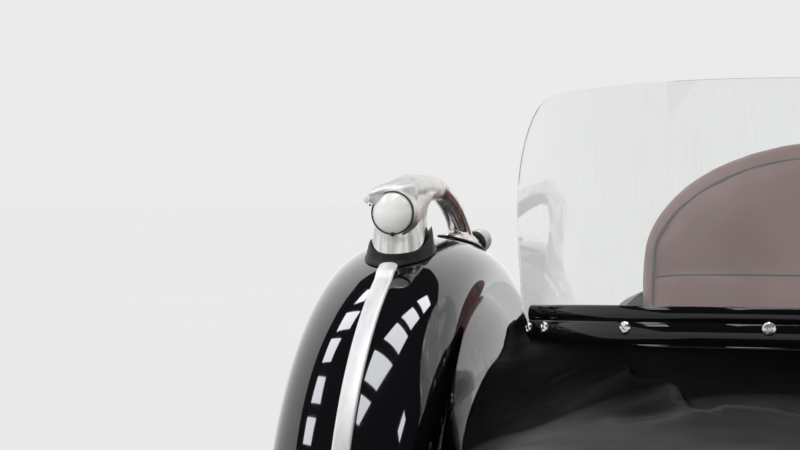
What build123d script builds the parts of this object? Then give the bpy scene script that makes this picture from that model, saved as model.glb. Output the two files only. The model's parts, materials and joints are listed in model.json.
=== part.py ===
from build123d import *
from math import atan2, cos, radians, sin, sqrt
import os

# A vintage motorcycle sidecar: a steel touring body with a bowed windscreen, a soft apron and an arched
# seat, on a tube chassis with one sprung spoked wheel under a deep mudguard that carries a cast handle
# with marker lamps. Millimetres. It is drawn with X = 0 on the body's centre plane and +X towards the
# motorcycle, +Y towards the tail with Y = 0 at the axle, and Z = 0 on the ground. save() then moves
# each piece so that the origin lies in the rear lower coupling eye.

# Wheel and tyre
AXLE_Z = 318.0
WHEEL_X = -425.0
TYRE_WIDTH = 92.0
TYRE_WALL = 9.0
TREAD_T = 14.0
SHOULDER_R = 292.0
BEAD_R = 228.0
RIM_WIDTH = 66.0
RIM_T = 3.0
FLANGE_LIP = 13.0
RIM_WELL = 16.0
HUB_R = 32.0
HUB_HALF = 42.0
FLANGE_R = 58.0
FLANGE_T = 5.0
DRUM_R = 92.0
DRUM_DEPTH = 34.0
SPOKES_PER_SIDE = 18
SPOKE_R = 1.8
AXLE_R = 10.0
RUNNING_GAP = 0.05

# Mudguard
GUARD_R = 366.0
GUARD_HALF = 89.0
GUARD_DEPTH = 58.0
GUARD_VALANCE = 38.0
GUARD_T = 2.0
GUARD_FRONT_DEG = -8.0
GUARD_REAR_DEG = 196.0
STRIP_WIDTH = 20.0
STRIP_T = 3.0
SEAT_GAP = 0.1

# Handle casting on the mudguard, its rubbers and lamps
HANDLE_FRONT_Y = -97.0
HANDLE_TURN = 12.0
RUBBER_T = 16.0
RUBBER_HALF = 37.0
RUBBER_HALF_LENGTH = 42.0
REAR_FOOT_T = 158.0
REAR_RUBBER_T = 8.0
REAR_RUBBER_HALF = 24.0
REAR_RUBBER_HALF_LENGTH = 42.0
NOSE_R = 8.5
LAMP_Y = -130.0
LAMP_DZ = 398.0
LENS_R = 22.0
LENS_BULGE = 9.0
BEZEL_T = 2.2
REAR_LAMP_R = 17.0
REAR_LAMP_T = 204.0
REAR_LAMP_DZ = 363.5
REAR_LENS_BULGE = 15.0
REAR_LAMP_TILT = 24.5

# Body
WALL = 3.0
SEAT_TOP_Z = 798.0
SEAT_WIDTH = 430.0
SEAT_BACK_T = 75.0
SEAT_LEAN = 14.0
SEAT_BACK_Y = 236.0
SEAT_SHOULDER = 190.0
CUSHION_T = 120.0
CUSHION_FRONT_Y = -190.0
CUSHION_REAR_Y = 330.0
CUSHION_TOP_Z = 440.0
FLOOR_Z = 228.0
FLOOR_FRONT_Y = -500.0
FLOOR_T = 10.0
BULKHEAD_Y = 412.0
BULKHEAD_T = 10.0
COCKPIT_HALF = 228.0
COCKPIT_FRONT_Y = -640.0
COCKPIT_REAR_Y = 400.0
COCKPIT_FRONT_R = 200.0
COCKPIT_REAR_R = 60.0
TRIM_T = 4.0
LID_FRONT_Y = 462.0
LID_REAR_Y = 710.0
LID_HALF = 150.0
LID_GAP = 5.0
HINGE_X = 90.0
HINGE_Y = 454.0
HINGE_R = 5.0
HINGE_LEAF_W = 24.0
HINGE_LEAF_T = 2.0
HINGE_LIFT = 1.5
HINGE_GAP = 0.4
HINGE_LEAF_REACH = 30.0

# Windscreen
SCREEN_Y = -330.0
RAIL_TOP_Z = 632.0
SCREEN_R = 290.0
SCREEN_RAKE = 4.5
SCREEN_HALF_DEG = 81.0
GLASS_T = 4.0
GLASS_RISE = 218.0
GLASS_TUCK = 32.0
RAIL_T = 5.0
RAIL_FRONT_H = 42.0
RAIL_END_H = 30.0
BOW_T = 3.0
PILLAR_R = 8.0
PILLAR_DEG = 70.0

# Apron
APRON_T = 3.0
APRON_LOW_Z = 484.0
APRON_EDGE_Z = 507.0
APRON_TOP_Z = 588.0
APRON_TOP_R = 291.0
APRON_KNEE = (262.0, -560.0)
APRON_MIDDLE = (288.0, -330.0)
APRON_FRONT_Y = -722.0
APRON_REAR_Y = -84.0
APRON_HALF = 295.0

# Chassis
TUBE_R = 20.0
FRAME_Z = 172.0
FRAME_HALF = 330.0
FRAME_FRONT_Y = -720.0
FRAME_JOIN_Y = -450.0
FRAME_REAR_Y = 440.0
CROSS_R = 17.0
CROSS_YS = (-330.0, 120.0, 415.0)
BOW_BEND_R = 170.0
ARM_Y = -235.0
ARM_X = -361.5
ARM_HALF_T = 10.5
EYE_X = 545.0
EYE_REAR_Y = 250.0
EYE_FRONT_Y = -500.0
EYE_Z = 230.0
EYE_R = 8.0
EYE_OUTER_R = 18.0
EYE_HEIGHT = 40.0
LINK_R = 16.0
MOUNT_X = 170.0
MOUNT_R = 24.0
HOUSING_R = 36.0
STAY_R = 8.0
STAY_ENDS = ((-330.0, -278.0, 395.0), (330.0, 268.0, 400.0))
LUG_BORE_R = 6.0
LUG_OUTER_R = 17.0
LUG_EAR_T = 8.0
LUG_GAP = 16.0
LUG_ROWS = ((-400.0, 62.0), (340.0, 90.0))  # Y, height of the bore above the rail

AXLE = Vector(WHEEL_X, 0, AXLE_Z)
EYE = Vector(EYE_X, EYE_REAR_Y, EYE_Z)
SPIN = Axis((WHEEL_X, 0, AXLE_Z), (1, 0, 0))

# Body sections: Y, half width, lowest Z, highest Z, lower corner radius, upper corner radius
HULL = (
    (-1210, 42, 400, 452, 24, 24),
    (-930, 198, 260, 487, 94, 62),
    (-540, 268, 222, 513, 100, 62),
    (-140, 292, 202, 540, 100, 62),
    (260, 287, 205, 594, 100, 84),
    (580, 250, 236, 598, 105, 118),
    (862, 74, 368, 434, 30, 30),
)


def save(piece, name):
    """Write one sub-part, moved so that the origin is the rear lower coupling eye."""
    placed = piece.moved(Location(-EYE))
    placed.label = name
    export_step(placed, f"parts/{name}.step")


def hull(inset):
    """The solid inside the body's outer skin, with every side moved inwards by inset."""
    with BuildPart() as form:
        last = len(HULL) - 1
        for i, (y, half, low, high, r_low, r_high) in enumerate(HULL):
            end = inset if i == 0 else -inset if i == last else 0
            with BuildSketch(Plane.XZ.offset(-(y + end))) as section:
                with Locations((0, (low + high) / 2)):
                    Rectangle(2 * (half - inset), high - low - 2 * inset)
                corners = section.vertices().sort_by(Axis.Y)
                fillet(corners[:2], r_low - inset)
                corners = section.vertices().sort_by(Axis.Y)
                fillet(corners[-2:], r_high - inset)
        loft()
    return form.part


def rod(start, end, radius):
    """A round bar from one point to another."""
    run = Vector(*end) - Vector(*start)
    with BuildPart() as bar:
        with BuildSketch(Plane(origin=start, z_dir=run)):
            Circle(radius)
        extrude(amount=run.length)
    return bar.part


def tube(points, radius, bend):
    """A round tube along straight runs joined by bends of one radius."""
    start = Vector(*points[0])
    with BuildPart() as bent:
        with BuildLine() as route:
            FilletPolyline(*points, radius=bend)
        with BuildSketch(Plane(origin=start, z_dir=Vector(*points[1]) - start)):
            Circle(radius)
        sweep(path=route.line)
    return bent.part


os.makedirs("parts", exist_ok=True)
hull_outside = hull(0)
hull_inside = hull(WALL)


def deck_z(x, y):
    """The height of the body's top skin above one place."""
    hits = hull_outside.find_intersection_points(Axis((x, y, 2000), (0, 0, -1)))
    return max(point.Z for point, _ in hits)


# Wheel

bead_half = RIM_WIDTH / 2 - RIM_T
with BuildPart() as tyre:
    with BuildSketch(Plane(origin=AXLE, x_dir=(1, 0, 0), z_dir=(0, -1, 0))):
        with BuildLine():
            flange_top = BEAD_R + FLANGE_LIP + 1
            waist = (flange_top + SHOULDER_R) / 2
            side, tread = TYRE_WIDTH / 2, TYRE_WIDTH / 2 - 7
            Line((-bead_half, BEAD_R), (-bead_half, flange_top))
            ThreePointArc((-bead_half, flange_top), (-side, waist), (-tread, SHOULDER_R))
            ThreePointArc((-tread, SHOULDER_R), (0, AXLE_Z), (tread, SHOULDER_R))
            ThreePointArc((tread, SHOULDER_R), (side, waist), (bead_half, flange_top))
            Line((bead_half, flange_top), (bead_half, BEAD_R))
            inner = bead_half - TYRE_WALL
            Polyline((bead_half, BEAD_R), (inner, BEAD_R), (inner, flange_top))
            ThreePointArc((inner, flange_top), (0, AXLE_Z - TREAD_T), (-inner, flange_top))
            Polyline((-inner, flange_top), (-inner, BEAD_R), (-bead_half, BEAD_R))
        make_face()
    revolve(axis=SPIN)
save(tyre.part, "tyre")

with BuildPart() as rim:
    with BuildSketch(Plane(origin=AXLE, x_dir=(1, 0, 0), z_dir=(0, -1, 0))):
        with BuildLine():
            edge = RIM_WIDTH / 2
            seat = BEAD_R - 0.1
            well = seat - RIM_WELL
            well_half = edge * 0.5
            Polyline(
                (-edge, seat + FLANGE_LIP), (-edge + RIM_T, seat + FLANGE_LIP), (-edge + RIM_T, seat), (-well_half, seat - 3),
                (-well_half + 4, well), (well_half - 4, well), (well_half, seat - 3), (edge - RIM_T, seat),
                (edge - RIM_T, seat + FLANGE_LIP), (edge, seat + FLANGE_LIP), (edge, seat - RIM_T), (well_half, seat - 3 - RIM_T),
                (well_half - 4, well - RIM_T), (-well_half + 4, well - RIM_T), (-well_half, seat - 3 - RIM_T),
                (-edge, seat - RIM_T), close=True,
            )
        make_face()
    revolve(axis=SPIN)
save(rim.part, "rim")
RIM_INNER = BEAD_R - 0.1 - RIM_WELL - RIM_T

# Hub: barrel, two spoke flanges and the brake drum on the body's side, bored for the axle
flange_x = HUB_HALF - FLANGE_T / 2 - 4
with BuildPart() as hub:
    with BuildSketch(Plane(origin=AXLE, x_dir=(1, 0, 0), z_dir=(0, -1, 0))):
        with BuildLine():
            bore = AXLE_R + RUNNING_GAP
            drum_face = HUB_HALF
            Polyline(
                (-HUB_HALF, bore), (-HUB_HALF, HUB_R - 6), (-flange_x - FLANGE_T / 2, HUB_R - 2),
                (-flange_x - FLANGE_T / 2, FLANGE_R), (-flange_x + FLANGE_T / 2, FLANGE_R),
                (-flange_x + FLANGE_T / 2, HUB_R - 4), (-flange_x + 18, HUB_R - 10),
                (drum_face - DRUM_DEPTH - 12, HUB_R - 10), (drum_face - DRUM_DEPTH, HUB_R),
                (drum_face - DRUM_DEPTH, DRUM_R + 9), (drum_face - DRUM_DEPTH + FLANGE_T, DRUM_R + 9),
                (drum_face - DRUM_DEPTH + FLANGE_T, DRUM_R), (drum_face, DRUM_R), (drum_face, DRUM_R - 5),
                (drum_face - DRUM_DEPTH + FLANGE_T, DRUM_R - 5), (drum_face - DRUM_DEPTH + FLANGE_T, HUB_R - 6),
                (drum_face - 12, HUB_R - 8), (drum_face - 12, bore), close=True,
            )
        make_face()
    revolve(axis=SPIN)
save(hub.part, "hub")

# Spokes: both flanges, alternately leaning forwards and backwards, cut flush with hub and rim
SPOKE_SETS = (  # flange X from the wheel's centre, flange radius, X at the rim, angle offset
    (-flange_x, FLANGE_R - 5, -8.0, 0.0),
    (HUB_HALF - DRUM_DEPTH + FLANGE_T / 2, DRUM_R + 4.5, 8.0, 5.0),
)
spoke_bars = []
for x_hub, r_hub, x_rim, turn in SPOKE_SETS:
    for k in range(SPOKES_PER_SIDE):
        lean = 1 if k % 2 else -1
        base = radians(turn + 360.0 / SPOKES_PER_SIDE * k)
        tip = base + radians(lean * 34.0 * (FLANGE_R / r_hub))
        side = lean * (FLANGE_T / 2 + SPOKE_R + 0.4)
        start = AXLE + Vector(x_hub + side, r_hub * cos(base), r_hub * sin(base))
        end = AXLE + Vector(x_rim + side * 0.4, RIM_INNER * cos(tip), RIM_INNER * sin(tip))
        reach = end + (end - start).normalized() * 6
        spoke_bars.append(rod(tuple(start), tuple(reach), SPOKE_R))
with BuildPart() as spokes:
    for bar in spoke_bars:
        add(bar)
    add(rim.part, mode=Mode.SUBTRACT)
    add(hub.part, mode=Mode.SUBTRACT)
save(spokes.part, "spokes")

def dome(centre, facing, radius, edge, bulge):
    """A round cap or lens: a short straight edge and a spherical face."""
    across = Vector(0, 0, 1).cross(facing).normalized()
    ball_r = (radius * radius + bulge * bulge) / (2 * bulge)
    half_angle = atan2(radius, ball_r - bulge) / 2
    middle = (ball_r * sin(half_angle), edge + bulge - ball_r * (1 - cos(half_angle)))
    with BuildPart() as cap:
        with BuildSketch(Plane(origin=centre, x_dir=across, z_dir=across.cross(facing))):
            with BuildLine():
                Polyline((0, edge + bulge), (0, 0), (radius, 0), (radius, edge))
                ThreePointArc((radius, edge), middle, (0, edge + bulge))
            make_face()
        revolve(axis=Axis(centre, facing))
    return cap.part


save(dome(AXLE - Vector(HUB_HALF, 0, 0), Vector(-1, 0, 0), HUB_R - 8, 6, 11), "hub_cap")

# Mudguard: a half ellipse crown with straight valances, turned about the axle
ROLL = Axis((WHEEL_X, 0, AXLE_Z), (-1, 0, 0))


def guard_plane(degrees_up):
    """A plane through the axle at an angle above the front, with its Y axis pointing away from the axle."""
    up = radians(degrees_up)
    return Plane(origin=AXLE, x_dir=(1, 0, 0), z_dir=(0, -sin(up), -cos(up)))


def guard_form(grow, front_deg, rear_deg):
    """The solid under the mudguard's crown, with the crown raised by grow."""
    spring = GUARD_R - GUARD_DEPTH
    with BuildPart() as form:
        with BuildSketch(guard_plane(front_deg)):
            with Locations((0, spring)):
                Ellipse(GUARD_HALF + grow, GUARD_DEPTH + grow)
            with Locations((0, spring + 200)):
                Rectangle(400, 400, mode=Mode.INTERSECT)
        revolve(axis=ROLL, revolution_arc=rear_deg - front_deg)
    return form.part


def at_handle(t, dz):
    """A point on the handle's middle plane: t along it from the front foot, dz above the axle."""
    turn = radians(HANDLE_TURN)
    return Vector(WHEEL_X + t * sin(turn), HANDLE_FRONT_Y + t * cos(turn), AXLE_Z + dz)


def handle_plane(t, dz, tilt, turn_deg=HANDLE_TURN):
    """A plane across the handle, its normal tilted upwards from the handle's direction."""
    turn, up = radians(turn_deg), radians(tilt)
    normal = (sin(turn) * cos(up), cos(turn) * cos(up), sin(up))
    return Plane(origin=at_handle(t, dz), x_dir=(cos(turn), -sin(turn), 0), z_dir=normal)


def foot_prism(t, half_width, half_length):
    """An upright oval prism through the mudguard, in line with the handle."""
    turn = radians(HANDLE_TURN)
    with BuildPart() as prism:
        with BuildSketch(Plane(origin=at_handle(t, 300), x_dir=(cos(turn), -sin(turn), 0), z_dir=(0, 0, 1))):
            Ellipse(half_width, half_length)
        extrude(amount=120)
    return prism.part


spring_r = GUARD_R - GUARD_DEPTH
valance_r = spring_r - GUARD_VALANCE
with BuildPart() as mudguard:
    with BuildSketch(guard_plane(GUARD_FRONT_DEG)):
        with BuildLine():
            outer, inner = GUARD_HALF, GUARD_HALF - GUARD_T
            EllipticalCenterArc((0, spring_r), outer, GUARD_DEPTH, start_angle=0, arc_size=180)
            Polyline((-outer, spring_r), (-outer, valance_r), (-inner, valance_r), (-inner, spring_r))
            EllipticalCenterArc((0, spring_r), inner, GUARD_DEPTH - GUARD_T, start_angle=0, arc_size=180)
            Polyline((inner, spring_r), (inner, valance_r), (outer, valance_r), (outer, spring_r))
        make_face()
    revolve(axis=ROLL, revolution_arc=GUARD_REAR_DEG - GUARD_FRONT_DEG)
save(mudguard.part, "mudguard")


def crown_strip(front_deg, rear_deg):
    """The raised strip along the top of the crown between two angles."""
    with BuildPart() as strip:
        with BuildSketch(guard_plane(front_deg)):
            with Locations((0, spring_r)):
                Ellipse(GUARD_HALF + STRIP_T, GUARD_DEPTH + STRIP_T)
                Ellipse(GUARD_HALF + SEAT_GAP, GUARD_DEPTH + SEAT_GAP, mode=Mode.SUBTRACT)
            with Locations((0, GUARD_R)):
                Rectangle(STRIP_WIDTH, 30, mode=Mode.INTERSECT)
        revolve(axis=ROLL, revolution_arc=rear_deg - front_deg)
    return strip.part


front_collar = foot_prism(0, RUBBER_HALF, RUBBER_HALF_LENGTH)
rear_collar = foot_prism(REAR_FOOT_T, REAR_RUBBER_HALF, REAR_RUBBER_HALF_LENGTH)
with BuildPart() as strip_front:
    add(crown_strip(GUARD_FRONT_DEG, 78))
    add(front_collar, mode=Mode.SUBTRACT)
save(strip_front.part, "strip_front")

with BuildPart() as strip_rear:
    add(crown_strip(84, GUARD_REAR_DEG))
    add(rear_collar, mode=Mode.SUBTRACT)
save(strip_rear.part, "strip_rear")

guard_top = guard_form(0, 50, 125)
with BuildPart() as rubber_front:
    add(guard_form(RUBBER_T, 50, 125))
    add(guard_top, mode=Mode.SUBTRACT)
    add(front_collar, mode=Mode.INTERSECT)
save(rubber_front.part, "rubber_front")

with BuildPart() as rubber_rear:
    add(guard_form(REAR_RUBBER_T, 50, 125))
    add(guard_top, mode=Mode.SUBTRACT)
    add(rear_collar, mode=Mode.INTERSECT)
save(rubber_rear.part, "rubber_rear")

# Handle casting: a column under the lamp head, the grip, and a shoe that ends in the rear lamp
COLUMN_ROWS = (  # height above the axle, half width, half length
    (338, 33, 38),
    (362, 30, 36),
    (380, 26, 31),
    (405, 25, 28),
)
GRIP_ROWS = (  # t, height above the axle, half width, half height, tilt
    (-12, 401, 28, 30, 0),
    (15, 408, 24, 30, 0),
    (45, 421, 13, 16, -4),
    (80, 424, 10.5, 11.5, -12),
    (117, 409, 10.8, 11.2, -38),
    (138, 389, 11.5, 12, -54),
    (153, 360, 17, 18, -70),
)
SHOE_ROWS = (  # t, height above the axle, half width, half height, tilt
    (126, 356, 13, 13, 0),
    (152, 360, 19, 18, 0),
    (REAR_LAMP_T, REAR_LAMP_DZ, REAR_LAMP_R + 1.5, REAR_LAMP_R + 1.5, REAR_LAMP_TILT),
)
LAMP_CENTRE = Vector(WHEEL_X - 1, LAMP_Y, AXLE_Z + LAMP_DZ)
with BuildPart() as column:
    for dz, half_width, half_length in COLUMN_ROWS:
        turn = radians(HANDLE_TURN)
        with BuildSketch(Plane(origin=at_handle(0, dz), x_dir=(cos(turn), -sin(turn), 0), z_dir=(0, 0, 1))):
            Ellipse(half_width, half_length)
    loft()
    add(guard_form(RUBBER_T, 50, 125), mode=Mode.SUBTRACT)

with BuildPart() as grip:
    with BuildSketch(Plane(origin=LAMP_CENTRE, x_dir=(1, 0, 0), z_dir=(0, 1, 0))):
        Ellipse(LENS_R + 2.5, LENS_R + 2.4)
    for t, dz, half_width, half_height, tilt in GRIP_ROWS:
        with BuildSketch(handle_plane(t, dz, tilt)):
            Ellipse(half_width, half_height)
    loft()

with BuildPart() as shoe:
    for t, dz, half_width, half_height, tilt in SHOE_ROWS:
        with BuildSketch(handle_plane(t, dz, tilt)):
            Ellipse(half_width, half_height + 0.1)
    loft()

NOSE_ROOT = Vector(WHEEL_X - 4, -112, AXLE_Z + 407)
NOSE_TIP = Vector(WHEEL_X - 25, -129, AXLE_Z + 415)
nose_run = NOSE_TIP - NOSE_ROOT
with BuildPart() as nose:
    with BuildSketch(Plane(origin=NOSE_ROOT, z_dir=nose_run)):
        Circle(17)
    with BuildSketch(Plane(origin=NOSE_TIP, z_dir=nose_run)):
        Circle(NOSE_R)
    loft()

with BuildPart() as handle_casting:
    add(column.part)
    add(grip.part)
    add(shoe.part)
    add(nose.part)
    add(guard_form(REAR_RUBBER_T, 50, 125), mode=Mode.SUBTRACT)
    with BuildSketch(Plane(origin=LAMP_CENTRE, x_dir=(1, 0, 0), z_dir=(0, -1, 0))):
        Circle(LENS_R + BEZEL_T + 0.3)
    extrude(amount=20, mode=Mode.SUBTRACT)
save(handle_casting.part, "handle_casting")

with BuildPart() as lamp_bezel:
    with BuildSketch(Plane(origin=LAMP_CENTRE, x_dir=(1, 0, 0), z_dir=(0, -1, 0))):
        Circle(LENS_R + BEZEL_T)
        Circle(LENS_R, mode=Mode.SUBTRACT)
    extrude(amount=5)
save(lamp_bezel.part, "lamp_bezel")

save(dome(LAMP_CENTRE, Vector(0, -1, 0), LENS_R, 3, LENS_BULGE), "front_lens")
save(dome(NOSE_TIP, nose_run.normalized(), NOSE_R - 1.5, 1, 4), "side_lens")
rear_seat = handle_plane(REAR_LAMP_T, REAR_LAMP_DZ, REAR_LAMP_TILT)
save(dome(rear_seat.origin, rear_seat.z_dir, REAR_LAMP_R, 2, REAR_LENS_BULGE), "rear_lens")

# Body shell with the cockpit and boot openings


def cockpit_prism(grow):
    """An upright prism on the cockpit's plan, grown by a width."""
    front, rear = COCKPIT_FRONT_Y - grow, COCKPIT_REAR_Y + grow
    with BuildPart() as prism:
        with BuildSketch(Plane.XY.offset(420)):
            with Locations((0, (front + rear) / 2)):
                Rectangle(2 * (COCKPIT_HALF + grow), rear - front)
        extrude(amount=300)
        fillet(prism.edges().filter_by(Axis.Z).group_by(Axis.Y)[0], COCKPIT_FRONT_R + grow)
        fillet(prism.edges().filter_by(Axis.Z).group_by(Axis.Y)[-1], COCKPIT_REAR_R + grow)
    return prism.part


def lid_prism(grow):
    """An upright prism on the boot lid's plan, grown by a width."""
    front, rear = LID_FRONT_Y - grow, LID_REAR_Y + grow
    with BuildPart() as prism:
        with Locations((0, (front + rear) / 2, 560)):
            Box(2 * (LID_HALF + grow), rear - front, 400)
        fillet(prism.edges().filter_by(Axis.Z), 40 + grow)
    return prism.part


with BuildPart() as body_shell:
    add(hull_outside)
    add(hull_inside, mode=Mode.SUBTRACT)
    add(cockpit_prism(0), mode=Mode.SUBTRACT)
    add(lid_prism(LID_GAP), mode=Mode.SUBTRACT)
save(body_shell.part, "body_shell")

with BuildPart() as boot_lid:
    add(hull_outside)
    add(hull_inside, mode=Mode.SUBTRACT)
    add(lid_prism(0), mode=Mode.INTERSECT)
save(boot_lid.part, "boot_lid")

hinge_skin = hull(-HINGE_LEAF_T)
hinge_z = deck_z(0, HINGE_Y) + HINGE_R + HINGE_LIFT


def hinge_leaves(x_offset, front_y, rear_y):
    """Two leaves that follow the skin, one for each hinge."""
    with BuildPart() as leaves:
        for side in (-1, 1):
            with Locations((side * HINGE_X + x_offset, (front_y + rear_y) / 2, hinge_z)):
                Box(HINGE_LEAF_W, rear_y - front_y, 60)
        add(hinge_skin, mode=Mode.INTERSECT)
        add(hull_outside, mode=Mode.SUBTRACT)
    return leaves.part


def knuckles(x_offset):
    """Two knuckles on the pin line, one for each hinge."""
    with BuildPart() as barrels:
        for side in (-1, 1):
            x = side * HINGE_X + x_offset
            add(rod((x - HINGE_LEAF_W / 2, HINGE_Y, hinge_z), (x + HINGE_LEAF_W / 2, HINGE_Y, hinge_z), HINGE_R))
    return barrels.part


knuckle_x = (HINGE_LEAF_W + HINGE_GAP) / 2
with BuildPart() as hinge_fixed:
    add(hinge_leaves(-knuckle_x, HINGE_Y - HINGE_LEAF_REACH, HINGE_Y))
    add(knuckles(-knuckle_x))
    add(hull_outside, mode=Mode.SUBTRACT)
save(hinge_fixed.part, "hinge_fixed")

with BuildPart() as hinge_moving:
    add(hinge_leaves(knuckle_x, LID_FRONT_Y, LID_FRONT_Y + HINGE_LEAF_REACH))
    for side in (-1, 1):
        with Locations((side * HINGE_X + knuckle_x, (LID_FRONT_Y + 4 + HINGE_Y) / 2, hinge_z - HINGE_R / 2 - 1)):
            Box(HINGE_LEAF_W, LID_FRONT_Y + 4 - HINGE_Y, HINGE_R - 2)
        with Locations((side * HINGE_X + knuckle_x, LID_FRONT_Y + 4, hinge_z - HINGE_R)):
            Box(HINGE_LEAF_W, 8, 2 * HINGE_R - 4)
    add(knuckles(knuckle_x))
    add(hull_outside, mode=Mode.SUBTRACT)
save(hinge_moving.part, "hinge_moving")

with BuildPart() as lid_handle:
    with BuildSketch(Plane.XY.offset(480)):
        with Locations((0, LID_REAR_Y - 30)):
            Circle(7)
    extrude(amount=deck_z(0, LID_REAR_Y - 30) + 14 - 480)
    with Locations((0, LID_REAR_Y - 30, deck_z(0, LID_REAR_Y - 30) + 16)):
        Box(70, 12, 8)
    add(hull_outside, mode=Mode.SUBTRACT)
save(lid_handle.part, "lid_handle")

with BuildPart() as trim_lip:
    add(hull_outside)
    add(hull(WALL + 6), mode=Mode.SUBTRACT)
    add(cockpit_prism(0), mode=Mode.INTERSECT)
    add(cockpit_prism(-TRIM_T), mode=Mode.SUBTRACT)

with BuildPart() as cockpit_trim:
    add(hull(-TRIM_T))
    add(hull_outside, mode=Mode.SUBTRACT)
    add(cockpit_prism(6), mode=Mode.INTERSECT)
    add(cockpit_prism(-TRIM_T), mode=Mode.SUBTRACT)
    add(trim_lip.part)
save(cockpit_trim.part, "cockpit_trim")

# Inside the body
with BuildPart() as floor_board:
    with Locations((0, (FLOOR_FRONT_Y + BULKHEAD_Y) / 2, FLOOR_Z + FLOOR_T / 2)):
        Box(700, BULKHEAD_Y - FLOOR_FRONT_Y, FLOOR_T)
    add(hull_inside, mode=Mode.INTERSECT)
save(floor_board.part, "floor_board")

with BuildPart() as bulkhead:
    with Locations((0, BULKHEAD_Y + BULKHEAD_T / 2, 420)):
        Box(700, BULKHEAD_T, 600)
    add(hull_inside, mode=Mode.INTERSECT)
save(bulkhead.part, "bulkhead")

base_low = FLOOR_Z + FLOOR_T
base_high = CUSHION_TOP_Z - CUSHION_T
with BuildPart() as seat_base:
    with Locations((0, (CUSHION_FRONT_Y + CUSHION_REAR_Y) / 2, (base_low + base_high) / 2)):
        Box(400, CUSHION_REAR_Y - CUSHION_FRONT_Y - 30, base_high - base_low)
        Box(376, CUSHION_REAR_Y - CUSHION_FRONT_Y - 54, base_high - base_low, mode=Mode.SUBTRACT)
save(seat_base.part, "seat_base")

with BuildPart() as seat_cushion:
    with Locations((0, (CUSHION_FRONT_Y + CUSHION_REAR_Y) / 2, CUSHION_TOP_Z - CUSHION_T / 2)):
        Box(440, CUSHION_REAR_Y - CUSHION_FRONT_Y, CUSHION_T)
    fillet(seat_cushion.edges().filter_by(Axis.Z), 40)
    fillet(seat_cushion.edges().group_by(Axis.Z)[-1], 22)
save(seat_cushion.part, "seat_cushion")

lean = radians(SEAT_LEAN)
back_rise = (SEAT_TOP_Z - CUSHION_TOP_Z) / cos(lean)
with BuildPart() as seat_back:
    with BuildSketch(Plane(origin=(0, SEAT_BACK_Y, CUSHION_TOP_Z), x_dir=(1, 0, 0), z_dir=(0, -cos(lean), sin(lean)))):
        with BuildLine():
            side = SEAT_WIDTH / 2
            Polyline((-side, SEAT_SHOULDER), (-side, -30), (side, -30), (side, SEAT_SHOULDER))
            EllipticalCenterArc((0, SEAT_SHOULDER), side, back_rise - SEAT_SHOULDER, start_angle=0, arc_size=180)
        make_face()
    extrude(amount=-SEAT_BACK_T)
    fillet(seat_back.faces().sort_by(Axis.Y)[0].edges(), 16)
    with Locations((0, SEAT_BACK_Y, CUSHION_TOP_Z - 100)):
        Box(600, 500, 200, mode=Mode.SUBTRACT)
save(seat_back.part, "seat_back")

# Windscreen, its rail outside and its bow inside the glass, all raked back together
RAKE = Axis((0, SCREEN_Y, RAIL_TOP_Z), (1, 0, 0))
SCREEN_CENTRE = (0, SCREEN_Y + SCREEN_R)


def screen_band(outer_r, thickness, low_z, high_z):
    """A curved band round the screen's centre, raked back."""
    with BuildPart() as band:
        with BuildSketch(Plane.XY.offset(low_z)):
            with BuildLine():
                start, span = -90 - SCREEN_HALF_DEG, 2 * SCREEN_HALF_DEG
                outside = CenterArc(SCREEN_CENTRE, outer_r, start, span)
                inside = CenterArc(SCREEN_CENTRE, outer_r - thickness, start, span)
                Line(outside @ 0, inside @ 0)
                Line(outside @ 1, inside @ 1)
            make_face()
        extrude(amount=high_z - low_z)
    return band.part.rotate(RAKE, -SCREEN_RAKE)


def side_prism(points, corners):
    """A prism across the body from a side outline of (Y, Z) points, with some corners rounded."""
    with BuildPart() as prism:
        with BuildSketch(Plane.YZ.offset(-400)) as outline:
            with BuildLine():
                Polyline(*points, close=True)
            make_face()
            for place, radius in corners:
                fillet(outline.vertices().sort_by_distance(place)[0], radius)
        extrude(amount=800)
    return prism.part


glass_outer = SCREEN_R - RAIL_T
glass_top = RAIL_TOP_Z + GLASS_RISE
with BuildPart() as windscreen:
    add(screen_band(glass_outer, GLASS_T, RAIL_TOP_Z - GLASS_TUCK, glass_top + 20))
    add(side_prism(
        ((-420, 560), (-420, glass_top), (-245, glass_top), (-84, glass_top - 64), (-76, 560)),
        (((-245, glass_top), 150), ((-84, glass_top - 64), 42)),
    ), mode=Mode.INTERSECT)
save(windscreen.part, "windscreen")

rail_low = RAIL_TOP_Z - RAIL_FRONT_H
rail_window = side_prism(
    ((-420, rail_low), (-420, 700), (-40, 700), (-40, RAIL_TOP_Z - RAIL_END_H + 2),
     (-86, RAIL_TOP_Z - RAIL_END_H + 1), (-282, rail_low + 4), (-325, rail_low)),
    (((-282, rail_low + 4), 400),),
)
with BuildPart() as screen_rail:
    add(screen_band(SCREEN_R, RAIL_T, rail_low - 20, RAIL_TOP_Z))
    add(rail_window, mode=Mode.INTERSECT)
save(screen_rail.part, "screen_rail")

with BuildPart() as screen_bow:
    add(screen_band(glass_outer - GLASS_T, BOW_T, rail_low - 20, RAIL_TOP_Z - 4))
    add(rail_window, mode=Mode.INTERSECT)
save(screen_bow.part, "screen_bow")

swing = radians(PILLAR_DEG)
pillar_reach = glass_outer - GLASS_T - BOW_T - PILLAR_R + 2
with BuildPart() as screen_pillars:
    for side in (-1, 1):
        x = side * pillar_reach * sin(swing)
        y = SCREEN_Y + SCREEN_R - pillar_reach * cos(swing)
        add(rod((x, y, 440), (x, y, RAIL_TOP_Z - 6), PILLAR_R).rotate(RAKE, -SCREEN_RAKE))
    add(screen_bow.part, mode=Mode.SUBTRACT)
    add(hull_outside, mode=Mode.SUBTRACT)
save(screen_pillars.part, "screen_pillars")

# Apron: a skirt from under the rail, down over the body's sides and forward over the nose


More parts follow.
